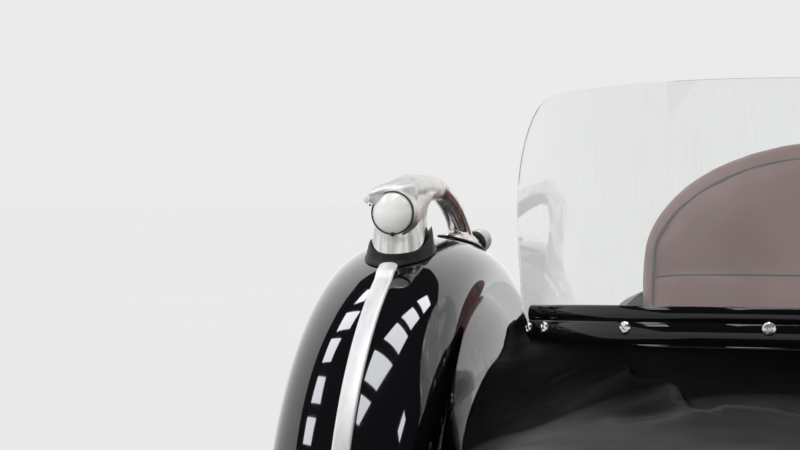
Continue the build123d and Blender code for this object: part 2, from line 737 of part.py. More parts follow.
def apron_form(inset, drop, rear_y, top_z):
    """The solid under the apron's skin, moved in and down."""
    levels = (
        (APRON_LOW_Z - drop, False), (APRON_EDGE_Z - drop, False), (APRON_TOP_Z - drop, True), (top_z, True),
    )
    with BuildPart() as form:
        for z, upper in levels:
            with BuildSketch(Plane.XY.offset(z)):
                with BuildLine():
                    if upper:
                        r, cy = APRON_TOP_R - inset, SCREEN_CENTRE[1] - 3
                        half = sqrt(r * r - (rear_y - cy) ** 2)
                        knee = (r * sin(radians(48)), cy - r * cos(radians(48)))
                        middle = (r * sin(radians(66)), cy - r * cos(radians(66)))
                        nose_y = cy - r
                    else:
                        half = APRON_HALF - inset
                        knee = (APRON_KNEE[0] - inset, APRON_KNEE[1] + inset * 0.5)
                        middle = (APRON_MIDDLE[0] - inset, APRON_MIDDLE[1])
                        nose_y = APRON_FRONT_Y + inset
                    ThreePointArc((half, rear_y), middle, knee)
                    ThreePointArc(knee, (0, nose_y), (-knee[0], knee[1]))
                    ThreePointArc((-knee[0], knee[1]), (-middle[0], middle[1]), (-half, rear_y))
                    Line((-half, rear_y), (half, rear_y))
                make_face()
        loft(ruled=True)
    return form.part


with BuildPart() as apron:
    add(apron_form(0, 0, APRON_REAR_Y, APRON_TOP_Z + 18))
    add(apron_form(APRON_T, APRON_T + 0.6, APRON_REAR_Y + 30, APRON_TOP_Z + 40), mode=Mode.SUBTRACT)
    add(hull_outside, mode=Mode.SUBTRACT)
    add(screen_band(SCREEN_R, RAIL_T + GLASS_T + BOW_T, rail_low, RAIL_TOP_Z), mode=Mode.SUBTRACT)
save(apron.part, "apron")

# Chassis
left_rail = rod((-FRAME_HALF, FRAME_JOIN_Y, FRAME_Z), (-FRAME_HALF, FRAME_REAR_Y, FRAME_Z), TUBE_R)
right_rail = rod((FRAME_HALF, FRAME_JOIN_Y, FRAME_Z), (FRAME_HALF, FRAME_REAR_Y, FRAME_Z), TUBE_R)
save(left_rail, "frame_rail_left")
save(right_rail, "frame_rail_right")

frame_bow = tube(
    (
        (-FRAME_HALF, FRAME_JOIN_Y, FRAME_Z), (-FRAME_HALF, FRAME_FRONT_Y, FRAME_Z),
        (FRAME_HALF, FRAME_FRONT_Y, FRAME_Z), (FRAME_HALF, FRAME_JOIN_Y, FRAME_Z),
    ),
    TUBE_R, BOW_BEND_R,
)
save(frame_bow, "frame_bow")

with BuildPart() as cross_tubes:
    for y in CROSS_YS:
        add(rod((-FRAME_HALF, y, FRAME_Z), (FRAME_HALF, y, FRAME_Z), CROSS_R))
    add(left_rail, mode=Mode.SUBTRACT)
    add(right_rail, mode=Mode.SUBTRACT)
save(cross_tubes.part, "cross_tubes")

with BuildPart() as body_mounts:
    for y in CROSS_YS:
        for side in (-1, 1):
            add(rod((side * MOUNT_X, y, FRAME_Z), (side * MOUNT_X, y, FRAME_Z + 80), MOUNT_R))
    add(hull_outside, mode=Mode.SUBTRACT)
    add(cross_tubes.part, mode=Mode.SUBTRACT)
    with Locations((0, 0, FRAME_Z - 50)):
        Box(800, 1600, 100, mode=Mode.SUBTRACT)
save(body_mounts.part, "body_mounts")

# Sprung wheel arm: a rubber spring housing clamped round the outer rail, and the arm to the axle
housing_end = ARM_X + ARM_HALF_T
with BuildPart() as spring_housing:
    add(rod((housing_end, ARM_Y, FRAME_Z), (-288, ARM_Y, FRAME_Z), HOUSING_R))
    add(left_rail, mode=Mode.SUBTRACT)
    add(hull_outside, mode=Mode.SUBTRACT)
save(spring_housing.part, "spring_housing")

with BuildPart() as swing_arm:
    with BuildSketch(Plane.YZ.offset(ARM_X - ARM_HALF_T)):
        run = Vector(0 - ARM_Y, AXLE_Z - FRAME_Z)
        side = Vector(-run.Y, run.X).normalized()
        with Locations((ARM_Y, FRAME_Z)):
            Circle(HOUSING_R - 4)
        with Locations((0, AXLE_Z)):
            Circle(27)
        with BuildLine():
            low, high = Vector(ARM_Y, FRAME_Z), Vector(0, AXLE_Z)
            Polyline(low + side * 22, high + side * 17, high - side * 17, low - side * 22, close=True)
        make_face()
        with Locations((0, AXLE_Z)):
            Circle(AXLE_R, mode=Mode.SUBTRACT)
    extrude(amount=2 * ARM_HALF_T)
save(swing_arm.part, "swing_arm")

with BuildPart() as axle:
    add(rod((WHEEL_X - HUB_HALF, 0, AXLE_Z), (housing_end + 14, 0, AXLE_Z), AXLE_R))
    with BuildSketch(Plane(origin=(housing_end, 0, AXLE_Z), z_dir=(1, 0, 0))):
        RegularPolygon(17, 6)
    extrude(amount=11)
save(axle.part, "axle")

plate_x = ARM_X - ARM_HALF_T
with BuildPart() as brake_plate:
    add(rod((plate_x - 5, 0, AXLE_Z), (plate_x - 1, 0, AXLE_Z), DRUM_R + 4))
    add(rod((plate_x - 1, 0, AXLE_Z), (plate_x, 0, AXLE_Z), 24))
    add(rod((plate_x - 20, 0, AXLE_Z), (plate_x + 20, 0, AXLE_Z), AXLE_R), mode=Mode.SUBTRACT)
save(brake_plate.part, "brake_plate")

with BuildPart() as guard_stays:
    stay_x = WHEEL_X + GUARD_HALF + STAY_R - 1.5
    for low_y, top_y, top_z in STAY_ENDS:
        add(rod((stay_x, low_y, FRAME_Z), (stay_x, top_y, top_z), STAY_R))
    add(mudguard.part, mode=Mode.SUBTRACT)
    add(left_rail, mode=Mode.SUBTRACT)
    add(spring_housing.part, mode=Mode.SUBTRACT)
    with Locations((stay_x, 0, FRAME_Z - 50)):
        Box(60, 1600, 100, mode=Mode.SUBTRACT)
save(guard_stays.part, "guard_stays")

# Couplings to the motorcycle


def lower_arm(y):
    """A lower coupling arm from the inner rail to an eye with an upright bore."""
    with BuildPart() as arm:
        add(rod((FRAME_HALF, y, FRAME_Z), (EYE_X, y, EYE_Z), LINK_R))
        add(right_rail, mode=Mode.SUBTRACT)
        add(frame_bow, mode=Mode.SUBTRACT)
        with Locations((FRAME_HALF - 60, y, FRAME_Z)):
            Box(120, 100, 120, mode=Mode.SUBTRACT)
        add(rod((EYE_X, y, EYE_Z - EYE_HEIGHT / 2), (EYE_X, y, EYE_Z + EYE_HEIGHT / 2), EYE_OUTER_R))
        add(rod((EYE_X, y, EYE_Z - 80), (EYE_X, y, EYE_Z + 80), EYE_R), mode=Mode.SUBTRACT)
        with Locations((EYE_X + 60, y, EYE_Z)):
            Box(120 - 2 * EYE_OUTER_R, 100, 100, mode=Mode.SUBTRACT)
    return arm.part


save(lower_arm(EYE_REAR_Y), "lower_arm_rear")
save(lower_arm(EYE_FRONT_Y), "lower_arm_front")

with BuildPart() as upper_lugs:
    for y, lug_height in LUG_ROWS:
        lug_z = FRAME_Z + lug_height
        for side in (-1, 1):
            face = y + side * (LUG_GAP + LUG_EAR_T) / 2
            with BuildSketch(Plane.XZ.offset(-(face + LUG_EAR_T / 2))):
                with Locations((FRAME_HALF, lug_z)):
                    Circle(LUG_OUTER_R)
                with Locations((FRAME_HALF, FRAME_Z + lug_height / 2)):
                    Rectangle(2 * LUG_OUTER_R, lug_height)
                with Locations((FRAME_HALF, lug_z)):
                    Circle(LUG_BORE_R, mode=Mode.SUBTRACT)
            extrude(amount=LUG_EAR_T)
    add(right_rail, mode=Mode.SUBTRACT)
    with Locations((FRAME_HALF, 0, FRAME_Z - 50)):
        Box(100, 2000, 100, mode=Mode.SUBTRACT)
save(upper_lugs.part, "upper_lugs")
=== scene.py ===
import json
from math import asin, cos, hypot, pi, radians, sin, sqrt

import bmesh
import bpy
import numpy as np
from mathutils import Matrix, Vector, noise


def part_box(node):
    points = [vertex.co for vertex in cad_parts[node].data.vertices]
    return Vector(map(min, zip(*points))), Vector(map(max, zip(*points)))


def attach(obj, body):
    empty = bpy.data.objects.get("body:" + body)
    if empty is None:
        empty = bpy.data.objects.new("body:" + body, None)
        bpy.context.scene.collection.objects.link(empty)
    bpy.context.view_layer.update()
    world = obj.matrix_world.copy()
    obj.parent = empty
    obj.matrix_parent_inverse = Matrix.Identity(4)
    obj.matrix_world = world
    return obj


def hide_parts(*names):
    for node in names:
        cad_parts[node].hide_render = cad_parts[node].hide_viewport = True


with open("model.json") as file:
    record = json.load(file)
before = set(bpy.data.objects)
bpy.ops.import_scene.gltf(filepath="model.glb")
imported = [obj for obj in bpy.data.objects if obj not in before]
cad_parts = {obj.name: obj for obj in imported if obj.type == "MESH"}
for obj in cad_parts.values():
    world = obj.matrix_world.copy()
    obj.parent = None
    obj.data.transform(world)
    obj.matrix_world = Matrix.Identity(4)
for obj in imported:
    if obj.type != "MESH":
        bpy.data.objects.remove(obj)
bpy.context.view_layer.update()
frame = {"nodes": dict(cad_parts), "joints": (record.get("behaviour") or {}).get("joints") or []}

# The looks of a vintage motorcycle sidecar. Metres, in the row frame. Places are given from the point on the
# ground below the body's centre, level with the axle: +X towards the motorcycle, +Y towards the tail.

# Driving dimensions
WHEEL_X, AXLE_Z = -0.425, 0.318
GUARD_R, GUARD_HALF, GUARD_DEPTH, GUARD_T = 0.3665, 0.0885, 0.058, 0.002
OUTER_VALANCE, INNER_VALANCE, CROWN_POWER = 0.038, 0.105, 2.3
GUARD_FRONT_DEG, STRIP_FRONT_DEG, STRIP_REAR_DEG, GUARD_REAR_DEG = -8.0, 67.0, 106.0, 196.0
SPRING_R = GUARD_R - GUARD_DEPTH
STRIP_HALF, STRIP_T = 0.01, 0.003
HANDLE_FRONT_Y, HANDLE_TURN, EAR_TURN = -0.097, radians(12.0), radians(27.0)
REAR_FOOT_T = 0.158
LAMP_X, LAMP_Y, LAMP_Z, LENS_R, LENS_BULGE = WHEEL_X + 0.0001, -0.13, 0.7149, 0.0228, 0.009
REAR_LAMP_R, REAR_LAMP_T, REAR_LAMP_DZ, REAR_LAMP_TILT = 0.0152, 0.1975, 0.357, radians(12.0)
SCREEN_Y, SCREEN_R, SCREEN_RAKE = -0.33, 0.29, radians(4.5)
RAIL_TOP_Z, RAIL_T, RAIL_DEPTH, RAIL_HALF = 0.632, 0.005, 0.042, 0.334
SHEET_R, SHEET_T, SHEET_BEND, SHEET_HALF, SHEET_CORNER = 0.285, 0.004, radians(62.0), 0.4025, 0.27
SHEET_LOW_Z, SHEET_TIP_Z, SHEET_TOP_Z = -0.03, 0.105, 0.2195
SEAT_LEAN, SEAT_BACK_Y, CUSHION_TOP_Z, SEAT_TOP_Z = radians(14.0), 0.236, 0.44, 0.8087
SEAT_HALF, SEAT_SHOULDER, SEAT_BACK_T, SEAT_EDGE, SEAT_CROWN = 0.217, 0.23, 0.075, 0.034, 1.8
TYRE_HALF, SHOULDER_R, BEAD_R = 0.046, 0.292, 0.228
PAD_PRESSURE, PAD_FRAMES = 4.0, 20

JOINTS = {joint["name"]: joint for joint in frame["joints"]}
AXLE = Vector(JOINTS["wheel_spin"]["pos_m"])
GROUND = AXLE - Vector((WHEEL_X, 0, AXLE_Z))
BASE = np.array(GROUND)


def at(x, y, z):
    """A place in the row frame from the body's own numbers."""
    return GROUND + Vector((x, y, z))


# Mesh tools


def linked(name, data):
    """A new object in the scene."""
    thing = bpy.data.objects.new(name, data)
    bpy.context.collection.objects.link(thing)
    return thing


def new_piece(name, points, faces, sharp=None):
    """A smooth mesh object from points in the row frame."""
    mesh = bpy.data.meshes.new(name)
    mesh.from_pydata([tuple(p) for p in points], [], [tuple(f) for f in faces])
    mesh.validate()
    mesh.polygons.foreach_set("use_smooth", [True] * len(mesh.polygons))
    piece = linked(name, mesh)
    form = bmesh.new()
    form.from_mesh(mesh)
    bmesh.ops.recalc_face_normals(form, faces=form.faces)
    form.to_mesh(mesh)
    form.free()
    if sharp is not None:
        mesh.set_sharp_from_angle(angle=radians(sharp))
    return piece


def grid_faces(rows, columns, close_rows=False, close_columns=False):
    """The quads of a grid of points, joined round where asked."""
    index = np.arange(rows * columns).reshape(rows, columns)
    if close_rows:
        index = np.vstack([index, index[:1]])
    if close_columns:
        index = np.hstack([index, index[:, :1]])
    return np.stack([index[:-1, :-1], index[1:, :-1], index[1:, 1:], index[:-1, 1:]], axis=-1).reshape(-1, 4)


def loft(name, rings, sharp=None, closed=False):
    """A skin through rings of points, its ends filled unless the rings close on themselves."""
    rings = np.array([[tuple(p) for p in ring] for ring in rings])
    rows, columns = rings.shape[:2]
    faces = grid_faces(rows, columns, closed, True).tolist()
    points = rings.reshape(-1, 3)
    if not closed:
        for row in (0, rows - 1):
            middle = len(points)
            points = np.vstack([points, rings[row].mean(axis=0)])
            faces += [(row * columns + k, row * columns + (k + 1) % columns, middle) for k in range(columns)]
    return new_piece(name, points, faces, sharp)


def slab(name, outer, inner, sharp=None):
    """A closed sheet of some thickness between two grids of points."""
    rows, columns = outer.shape[:2]
    ring = np.concatenate([outer, inner[:, ::-1]], axis=1)
    faces = grid_faces(rows, 2 * columns, False, True).tolist()
    for row in (0, rows - 1):
        base = row * 2 * columns
        for k in range(columns - 1):
            faces.append((base + k, base + k + 1, base + 2 * columns - 2 - k, base + 2 * columns - 1 - k))
    return new_piece(name, ring.reshape(-1, 3), faces, sharp)


def square_to(facing):
    """A direction made one long, with two directions square to it and to each other."""
    facing = Vector(facing).normalized()
    side = facing.orthogonal().normalized()
    return facing, side, facing.cross(side)


def turns_of(count):
    """Evenly spaced angles of a full turn."""
    return [2 * pi * k / count for k in range(count)]


def ring_at(centre, side, up, radius, count):
    """A round ring of points about a centre."""
    return [centre + (side * cos(turn) + up * sin(turn)) * radius for turn in turns_of(count)]


def lathe(name, centre, axis, profile, count=64, sharp=None, closed=False):
    """A turned form: profile holds (distance along the axis, radius) from one end to the other."""
    axis, side, up = square_to(axis)
    middle = Vector(centre)
    rings = [ring_at(middle + axis * along, side, up, max(radius, 1e-5), count) for along, radius in profile]
    return loft(name, rings, sharp, closed)


def tube(name, path, radius, closed=False, count=12):
    """A round bead along a path of points."""
    path = [Vector(p) for p in path]
    last = len(path) - 1
    rings, side = [], None
    for k, spot in enumerate(path):
        before = path[k - 1] if closed or k else spot
        after = path[(k + 1) % len(path)] if closed or k < last else spot
        along = (after - before).normalized()
        side = (along.orthogonal() if side is None else side - along * side.dot(along)).normalized()
        rings.append(ring_at(spot, side, along.cross(side), radius, count))
    return loft(name, rings, closed=closed)


def through(rows, count):
    """Evenly spread rows on a smooth curve through the given rows of numbers."""
    rows = np.array(rows, float)
    padded = np.vstack([2 * rows[0] - rows[1], rows, 2 * rows[-1] - rows[-2]])
    steps = np.linspace(0, len(rows) - 1, count)
    spans = np.minimum(steps.astype(int), len(rows) - 2)
    t = (steps - spans)[:, None]
    a, b, c, d = (padded[spans + k] for k in range(4))
    square, cube = 2 * a - 5 * b + 4 * c - d, 3 * b - a - 3 * c + d
    return 0.5 * (2 * b + (c - a) * t + square * t ** 2 + cube * t ** 3)


def ring_about(centre, along, half_width, half_height, count=40):
    """An upright oval of points across a direction."""
    along = Vector(along).normalized()
    side = along.cross(Vector((0, 0, 1)))
    side = side.normalized() if side.length > 1e-4 else Vector((1, 0, 0))
    up = side.cross(along)
    return [centre + side * half_width * cos(turn) + up * half_height * sin(turn) for turn in turns_of(count)]


def oval_loft(name, rows, count, place):
    """A skin of upright ovals on a smooth line: rows of what place takes, half width, half height."""
    rows = through(rows, count)
    spots = [place(*row[:-2]) for row in rows]
    rings = []
    for k, row in enumerate(rows):
        along = spots[min(k + 1, count - 1)] - spots[max(k - 1, 0)]
        rings.append(ring_about(spots[k], along, *row[-2:]))
    return loft(name, rings)


def modified(piece, kind, **settings):
    """A new modifier on the piece, with its settings."""
    modifier = piece.modifiers.new(kind.lower(), kind)
    for setting, value in settings.items():
        setattr(modifier, setting, value)
    return modifier


def applied(piece):
    """The piece with its modifiers made real."""
    graph = bpy.context.evaluated_depsgraph_get()
    mesh = bpy.data.meshes.new_from_object(piece.evaluated_get(graph))
    piece.modifiers.clear()
    piece.data = mesh
    mesh.polygons.foreach_set("use_smooth", [True] * len(mesh.polygons))
    return piece


def joined(name, pieces):
    """Several pieces as one object."""
    form = bmesh.new()
    for piece in pieces:
        form.from_mesh(piece.data)
    mesh = bpy.data.meshes.new(name)
    form.to_mesh(mesh)
    form.free()
    whole = linked(name, mesh)
    for piece in pieces:
        bpy.data.objects.remove(piece)
    return whole


def fused(name, pieces, voxel, passes):
    """Overlapping closed forms as one skin, with the corners between them smoothed into fillets."""
    whole = joined(name, pieces)
    modified(whole, "REMESH", mode="VOXEL", voxel_size=voxel)
    modified(whole, "SMOOTH", factor=0.5, iterations=passes)
    return applied(whole)


def puffed(piece, cap, voxel=0.005):
    """The piece blown up a little as cloth over its filling, with no point moved further than cap."""
    modified(piece, "REMESH", mode="VOXEL", voxel_size=voxel)
    applied(piece)
    start = np.array([v.co for v in piece.data.vertices])
    cloth = modified(piece, "CLOTH")
    cloth.settings.quality = 4
    cloth.settings.use_pressure = True
    cloth.settings.uniform_pressure_force = PAD_PRESSURE
    cloth.settings.effector_weights.gravity = 0
    cloth.point_cache.frame_start = 1
    cloth.point_cache.frame_end = PAD_FRAMES
    scene = bpy.context.scene
    for step in range(1, PAD_FRAMES + 1):
        scene.frame_set(step)
    applied(piece)
    scene.frame_set(1)
    moved = np.array([v.co for v in piece.data.vertices]) - start
    length = np.linalg.norm(moved, axis=1, keepdims=True)
    moved *= np.minimum(1, cap / np.maximum(length, 1e-9))
    piece.data.vertices.foreach_set("co", (start + moved).ravel())
    modified(piece, "SMOOTH", factor=0.5, iterations=4)
    return applied(piece)


# Materials


def wired(tree, kind, *sources, operation=None, **values):
    """A new shader node: its first inputs joined to the sources, others set by name."""
    node = tree.nodes.new("ShaderNode" + kind)
    if operation:
        node.operation = operation
    for socket, source in zip(node.inputs, sources):
        tree.links.new(source, socket)
    for socket, value in values.items():
        node.inputs[socket.replace("_", " ")].default_value = value
    return node


class Finish:
    """A procedural material: one Principled shader whose detail is laid out in metres on the piece."""

    def __init__(self, name, colour, roughness, metallic=0.0, **sockets):
        self.material = bpy.data.materials.new(name)
        self.material.use_nodes = True
        self.tree = self.material.node_tree
        self.shader = self.tree.nodes["Principled BSDF"]
        self.shader.inputs["Base Color"].default_value = (*colour, 1.0)
        for socket, value in {"Roughness": roughness, "Metallic": metallic, **sockets}.items():
            self.shader.inputs[socket.replace("_", " ")].default_value = value
        self.place = self.add("TexCoord").outputs["Object"]
        self.normal = None

    def add(self, kind, *sources, **values):
        return wired(self.tree, kind, *sources, **values)

    def drive(self, source, socket):
        """Joins an output to a socket of the shader."""
        self.tree.links.new(source, self.shader.inputs[socket])

    def noise(self, scale, detail=3.0, stretch=(1.0, 1.0, 1.0), distortion=0.0):
        """A noise pattern, stretched along the axes."""
        mapping = self.add("Mapping", self.place, Scale=stretch)
        texture = self.add("TexNoise", mapping.outputs[0], Scale=scale, Detail=detail, Distortion=distortion)
        return texture.outputs[0]

    def spread(self, source, low, high, to_low, to_high):
        """The part of a pattern between two values, stretched to two others."""
        reach = self.add("MapRange", source, From_Min=low, From_Max=high, To_Min=to_low, To_Max=to_high)
        return reach.outputs[0]

    def tint(self, source, *stops):
        """Base colour from a pattern: stops are (place, colour)."""
        ramp = self.add("ValToRGB", source)
        elements = ramp.color_ramp.elements
        while len(elements) < len(stops):
            elements.new(0.5)
        for element, (place, colour) in zip(elements, stops):
            element.position = place
            element.color = (*colour, 1.0)
        self.drive(ramp.outputs["Color"], "Base Color")

    def roughen(self, source, low, high, to_low, to_high):
        """Roughness from a pattern."""
        self.drive(self.spread(source, low, high, to_low, to_high), "Roughness")

    def bump(self, source, strength, depth):
        """Relief from a pattern, on top of any before it."""
        relief = self.add("Bump", Strength=strength, Distance=depth)
        self.tree.links.new(source, relief.inputs["Height"])
        if self.normal is not None:
            self.tree.links.new(self.normal, relief.inputs["Normal"])
        self.normal = relief.outputs["Normal"]
        self.drive(self.normal, "Normal")
        return self


def gloss_black(name, lumps=0.0002, coat=1.0, bend=1.55):
    finish = Finish(name, (0.004, 0.004, 0.005), 0.05, IOR=bend, Coat_Weight=coat, Coat_Roughness=0.02)
    finish.roughen(finish.noise(9.0), 0.35, 0.7, 0.03, 0.08)
    return finish.bump(finish.noise(55.0, 1.0), 0.05, lumps)


def chassis_black():
    finish = Finish("chassis_enamel", (0.012, 0.012, 0.013), 0.16, Coat_Weight=0.2, Coat_Roughness=0.08)
    finish.roughen(finish.noise(22.0), 0.3, 0.75, 0.12, 0.3)
    finish.tint(finish.noise(60.0, 6.0), (0.45, (0.012, 0.012, 0.013)), (0.75, (0.03, 0.027, 0.024)))
    return finish.bump(finish.noise(140.0), 0.1, 0.0003)


def polished_casting():
    """Polished aluminium, smooth at the neck and duller on top; painted reflections darken its colour in
    upright stripes and over the neck.
    """
    finish = Finish("polished_aluminium", (0.74, 0.73, 0.71), 0.34, 1.0)
    along = finish.add("VectorMath", finish.place, operation="DOT_PRODUCT")
    along.inputs[1].default_value = (0.0, -0.4, 1.0)
    height = along.outputs["Value"]
    finish.roughen(height, 0.6, 0.64, 0.2, 0.5)
    # Painted reflection: upright stripes of noise and a darker band below the neck's height go into the base
    # colour, standing in for the dark surroundings mirrored in the polished metal.
    painted_reflection_streaks = finish.noise(150.0, 4.0, (1.0, 1.0, 0.06))
    lower = finish.add("Math", painted_reflection_streaks, finish.spread(height, 0.612, 0.634, -0.22, 0.0), operation="ADD")
    dark, middle, pale = (0.4, 0.39, 0.38), (0.75, 0.74, 0.725), (0.83, 0.825, 0.815)
    finish.tint(lower.outputs[0], (0.06, dark), (0.34, middle), (0.62, pale))
    finish.bump(finish.noise(45.0, 1.0), 0.12, 0.0006)
    return finish.bump(finish.noise(900.0, stretch=(1.0, 0.15, 1.0)), 0.05, 0.0001)


def brushed_strip():
    finish = Finish("brushed_aluminium", (0.86, 0.86, 0.85), 0.42, 0.6)
    lines = finish.noise(900.0, 2.0, (1.0, 0.02, 0.02))
    finish.roughen(lines, 0.3, 0.7, 0.38, 0.5)
    worn = finish.noise(60.0, 6.0, (1.0, 0.25, 0.25))
    finish.tint(worn, (0.3, (0.7, 0.7, 0.7)), (0.62, (0.9, 0.9, 0.89)))
    return finish.bump(lines, 0.12, 0.0001)


def chrome(name, roughness=0.08):
    finish = Finish(name, (0.78, 0.78, 0.79), roughness, 1.0)
    finish.roughen(finish.noise(40.0, 5.0), 0.35, 0.75, roughness * 0.6, roughness * 2.6)
    return finish.bump(finish.noise(300.0), 0.05, 0.0001)


def satin_alloy(name):
    finish = Finish(name, (0.55, 0.55, 0.56), 0.36, 1.0)
    finish.roughen(finish.noise(70.0, 6.0), 0.3, 0.7, 0.28, 0.5)
    finish.tint(finish.noise(30.0, 7.0), (0.35, (0.42, 0.41, 0.4)), (0.65, (0.62, 0.62, 0.63)))
    return finish.bump(finish.noise(500.0), 0.2, 0.0002)


def rubber(name, colour, roughness):
    finish = Finish(name, colour, roughness, Specular_IOR_Level=0.3)
    finish.tint(finish.noise(35.0, 6.0), (0.4, colour), (0.8, [2.2 * c for c in colour]))
    finish.roughen(finish.noise(90.0, 4.0), 0.3, 0.7, roughness * 0.8, roughness * 1.25)
    return finish.bump(finish.noise(1400.0), 0.15, 0.0002)


def opal(name, colour):
    finish = Finish(name, colour, 0.16, Subsurface_Weight=0.25, Subsurface_Scale=0.004, Coat_Weight=0.5,
                    Coat_Roughness=0.05)
    specks = finish.noise(420.0, 6.0, distortion=0.6)
    finish.tint(specks, (0.2, [0.62 * c for c in colour]), (0.36, colour))
    finish.roughen(finish.noise(150.0), 0.3, 0.7, 0.1, 0.28)
    return finish.bump(specks, 0.1, 0.0002)


def leather(name, colour, pale, roughness, grain=480.0, depth=0.0005, shine=0.35):
    """Leather or leathercloth: pebbled cells, broad fading and a soft sheen."""
    finish = Finish(name, colour, roughness, Specular_IOR_Level=shine)
    finish.tint(finish.noise(7.0, 7.0), (0.3, colour), (0.78, pale))
    finish.roughen(finish.noise(18.0, 5.0), 0.3, 0.7, roughness * 0.85, roughness * 1.2)
    finish.bump(finish.add("TexVoronoi", finish.place, Scale=grain).outputs[0], 0.07, depth)
    return finish.bump(finish.noise(grain / 4), 0.06, depth)


def leathercloth():
    """Black leathercloth, with a sheen where the apron's front is worn that fades over the shoulders."""
    black, faded = (0.0012, 0.0012, 0.0015), (0.003, 0.003, 0.0032)
    finish = leather("apron_leathercloth", black, faded, 0.36, 620.0, 0.0002, 0.14)
    squeezed = finish.add("Mapping", finish.place, Location=(0.5, 1.82, 0.0), Scale=(1.0, 2.0, 0.0))
    far = finish.add("VectorMath", squeezed.outputs[0], operation="LENGTH")
    finish.drive(finish.spread(far.outputs["Value"], 0.26, 0.44, 0.12, 0.003), "Specular IOR Level")
    return finish


def varnished_board():
    finish = Finish("varnished_board", (0.3, 0.2, 0.11), 0.3, Coat_Weight=0.3, Coat_Roughness=0.12)
    rings = finish.noise(26.0, 6.0, (1.0, 0.08, 1.0), 0.8)
    finish.tint(rings, (0.3, (0.17, 0.1, 0.05)), (0.55, (0.33, 0.21, 0.11)), (0.75, (0.42, 0.28, 0.16)))
    return finish.bump(rings, 0.15, 0.0004)


def clear_acrylic():
    """Clear acrylic sheet: light goes through to the seat, and scratches and dust haze it a little."""
    finish = Finish("clear_acrylic", (0.95, 0.97, 0.96), 0.0, IOR=1.49, Transmission_Weight=1.0,
                    Specular_IOR_Level=0.2)
    scratches = finish.noise(260.0, 8.0, (1.0, 1.0, 0.04), 0.4)
    finish.roughen(scratches, 0.45, 0.75, 0.0, 0.02)
    scratched = finish.spread(scratches, 0.55, 0.8, 0.0, 0.05)
    dusty = finish.spread(finish.noise(6.0, 6.0), 0.3, 0.7, 0.03, 0.08)
    amount = finish.add("Math", scratched, dusty, operation="ADD")
    haze = finish.add("BsdfTranslucent", Color=(0.9, 0.9, 0.9, 1.0))
    film = finish.add("MixShader", amount.outputs[0], finish.shader.outputs[0], haze.outputs[0])
    clear = finish.add("BsdfTransparent")
    shadow = finish.add("LightPath").outputs["Is Shadow Ray"]
    passing = finish.add("MixShader", shadow, film.outputs[0], clear.outputs[0])
    finish.tree.links.new(passing.outputs[0], finish.tree.nodes["Material Output"].inputs["Surface"])
    return finish


FINISHES = {
    "paint": gloss_black("gloss_black_paint"),
    "rail_paint": gloss_black("rail_black_paint", 0.0004, 0.0, 1.42),
    "chassis": chassis_black(),
    "casting": polished_casting(),
    "strip": brushed_strip(),
    "chrome": chrome("chrome_plate"),
    "screw": chrome("plated_screw", 0.16),
    "alloy": satin_alloy("hub_alloy"),
    "steel": satin_alloy("axle_steel"),
    "rubber": rubber("black_rubber", (0.0035, 0.0035, 0.004), 0.42),
    "trim": rubber("trim_rubber", (0.012, 0.012, 0.013), 0.35),
    "tyre": rubber("tyre_rubber", (0.022, 0.021, 0.02), 0.7),
    "front_opal": opal("front_lens", (0.86, 0.88, 0.84)),
    "rear_opal": opal("rear_lens", (0.72, 0.7, 0.69)),
    "seat": leather("seat_leather", (0.135, 0.062, 0.055), (0.21, 0.115, 0.105), 0.42),
    "piping": leather("seat_piping", (0.05, 0.045, 0.048), (0.09, 0.08, 0.08), 0.4),
    "apron": leathercloth(),
    "board": varnished_board(),
    "screen": clear_acrylic(),
}


def keep(piece, finish, slot, *nodes, body="sidecar"):
    """Dress a piece, set it on its body and hide the CAD nodes it stands for."""
    piece.data.materials.clear()
    piece.data.materials.append(FINISHES[finish].material)
    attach(piece, body)
    if nodes:
        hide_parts(*nodes)


# Mudguard


def round_axle(x, out, angles):
    """Places at some distance from the axle's line, at angles above the front."""
    y, z = -out * np.cos(angles), AXLE_Z + out * np.sin(angles)
    return BASE + np.stack([x + 0 * y, y, z], axis=-1)


def guard_points(angles, turns, grow=0.0):
    """Places on the crown: angles above the front round the axle, turns across it from outside."""
    angles, turns = np.radians(angles)[:, None], np.radians(turns)[None, :]
    out = SPRING_R + (GUARD_DEPTH + grow) * np.abs(np.cos(turns)) ** (2 / CROWN_POWER)
    x = WHEEL_X + (GUARD_HALF + grow) * np.sign(turns) * np.abs(np.sin(turns)) ** (2 / CROWN_POWER)
    return round_axle(x, out, angles)


def guard_section(angles, drop):
    """One skin of the mudguard, drop inside the outer one: an oval crown on straight valances."""
    crown = guard_points(angles, np.linspace(-90, 90, 65), -drop)
    steps = np.linspace(1, 0, 9)[:-1]
    up = np.radians(angles)[:, None]
    outside, inside = (
        round_axle(WHEEL_X + side * (GUARD_HALF - drop), (SPRING_R - depths)[None, :], up)
        for side, depths in ((-1, OUTER_VALANCE * steps), (1, INNER_VALANCE * steps[::-1])))
    return np.concatenate([outside, crown, inside], axis=1)


def make_mudguard():
    angles = np.linspace(GUARD_FRONT_DEG, GUARD_REAR_DEG, 241)
    outer, inner = guard_section(angles, 0.0), guard_section(angles, GUARD_T)
    keep(slab("mudguard_shell", outer, inner, 40), "paint", "black_paint", "mudguard")
    edge = (outer + inner) / 2
    rim = [*edge[:, 0], *edge[-1, 1:], *edge[::-1, -1][1:], *edge[0, ::-1][1:-1]]
    keep(tube("mudguard_wired_edge", rim, 0.0032, True, 10), "paint", "black_paint")


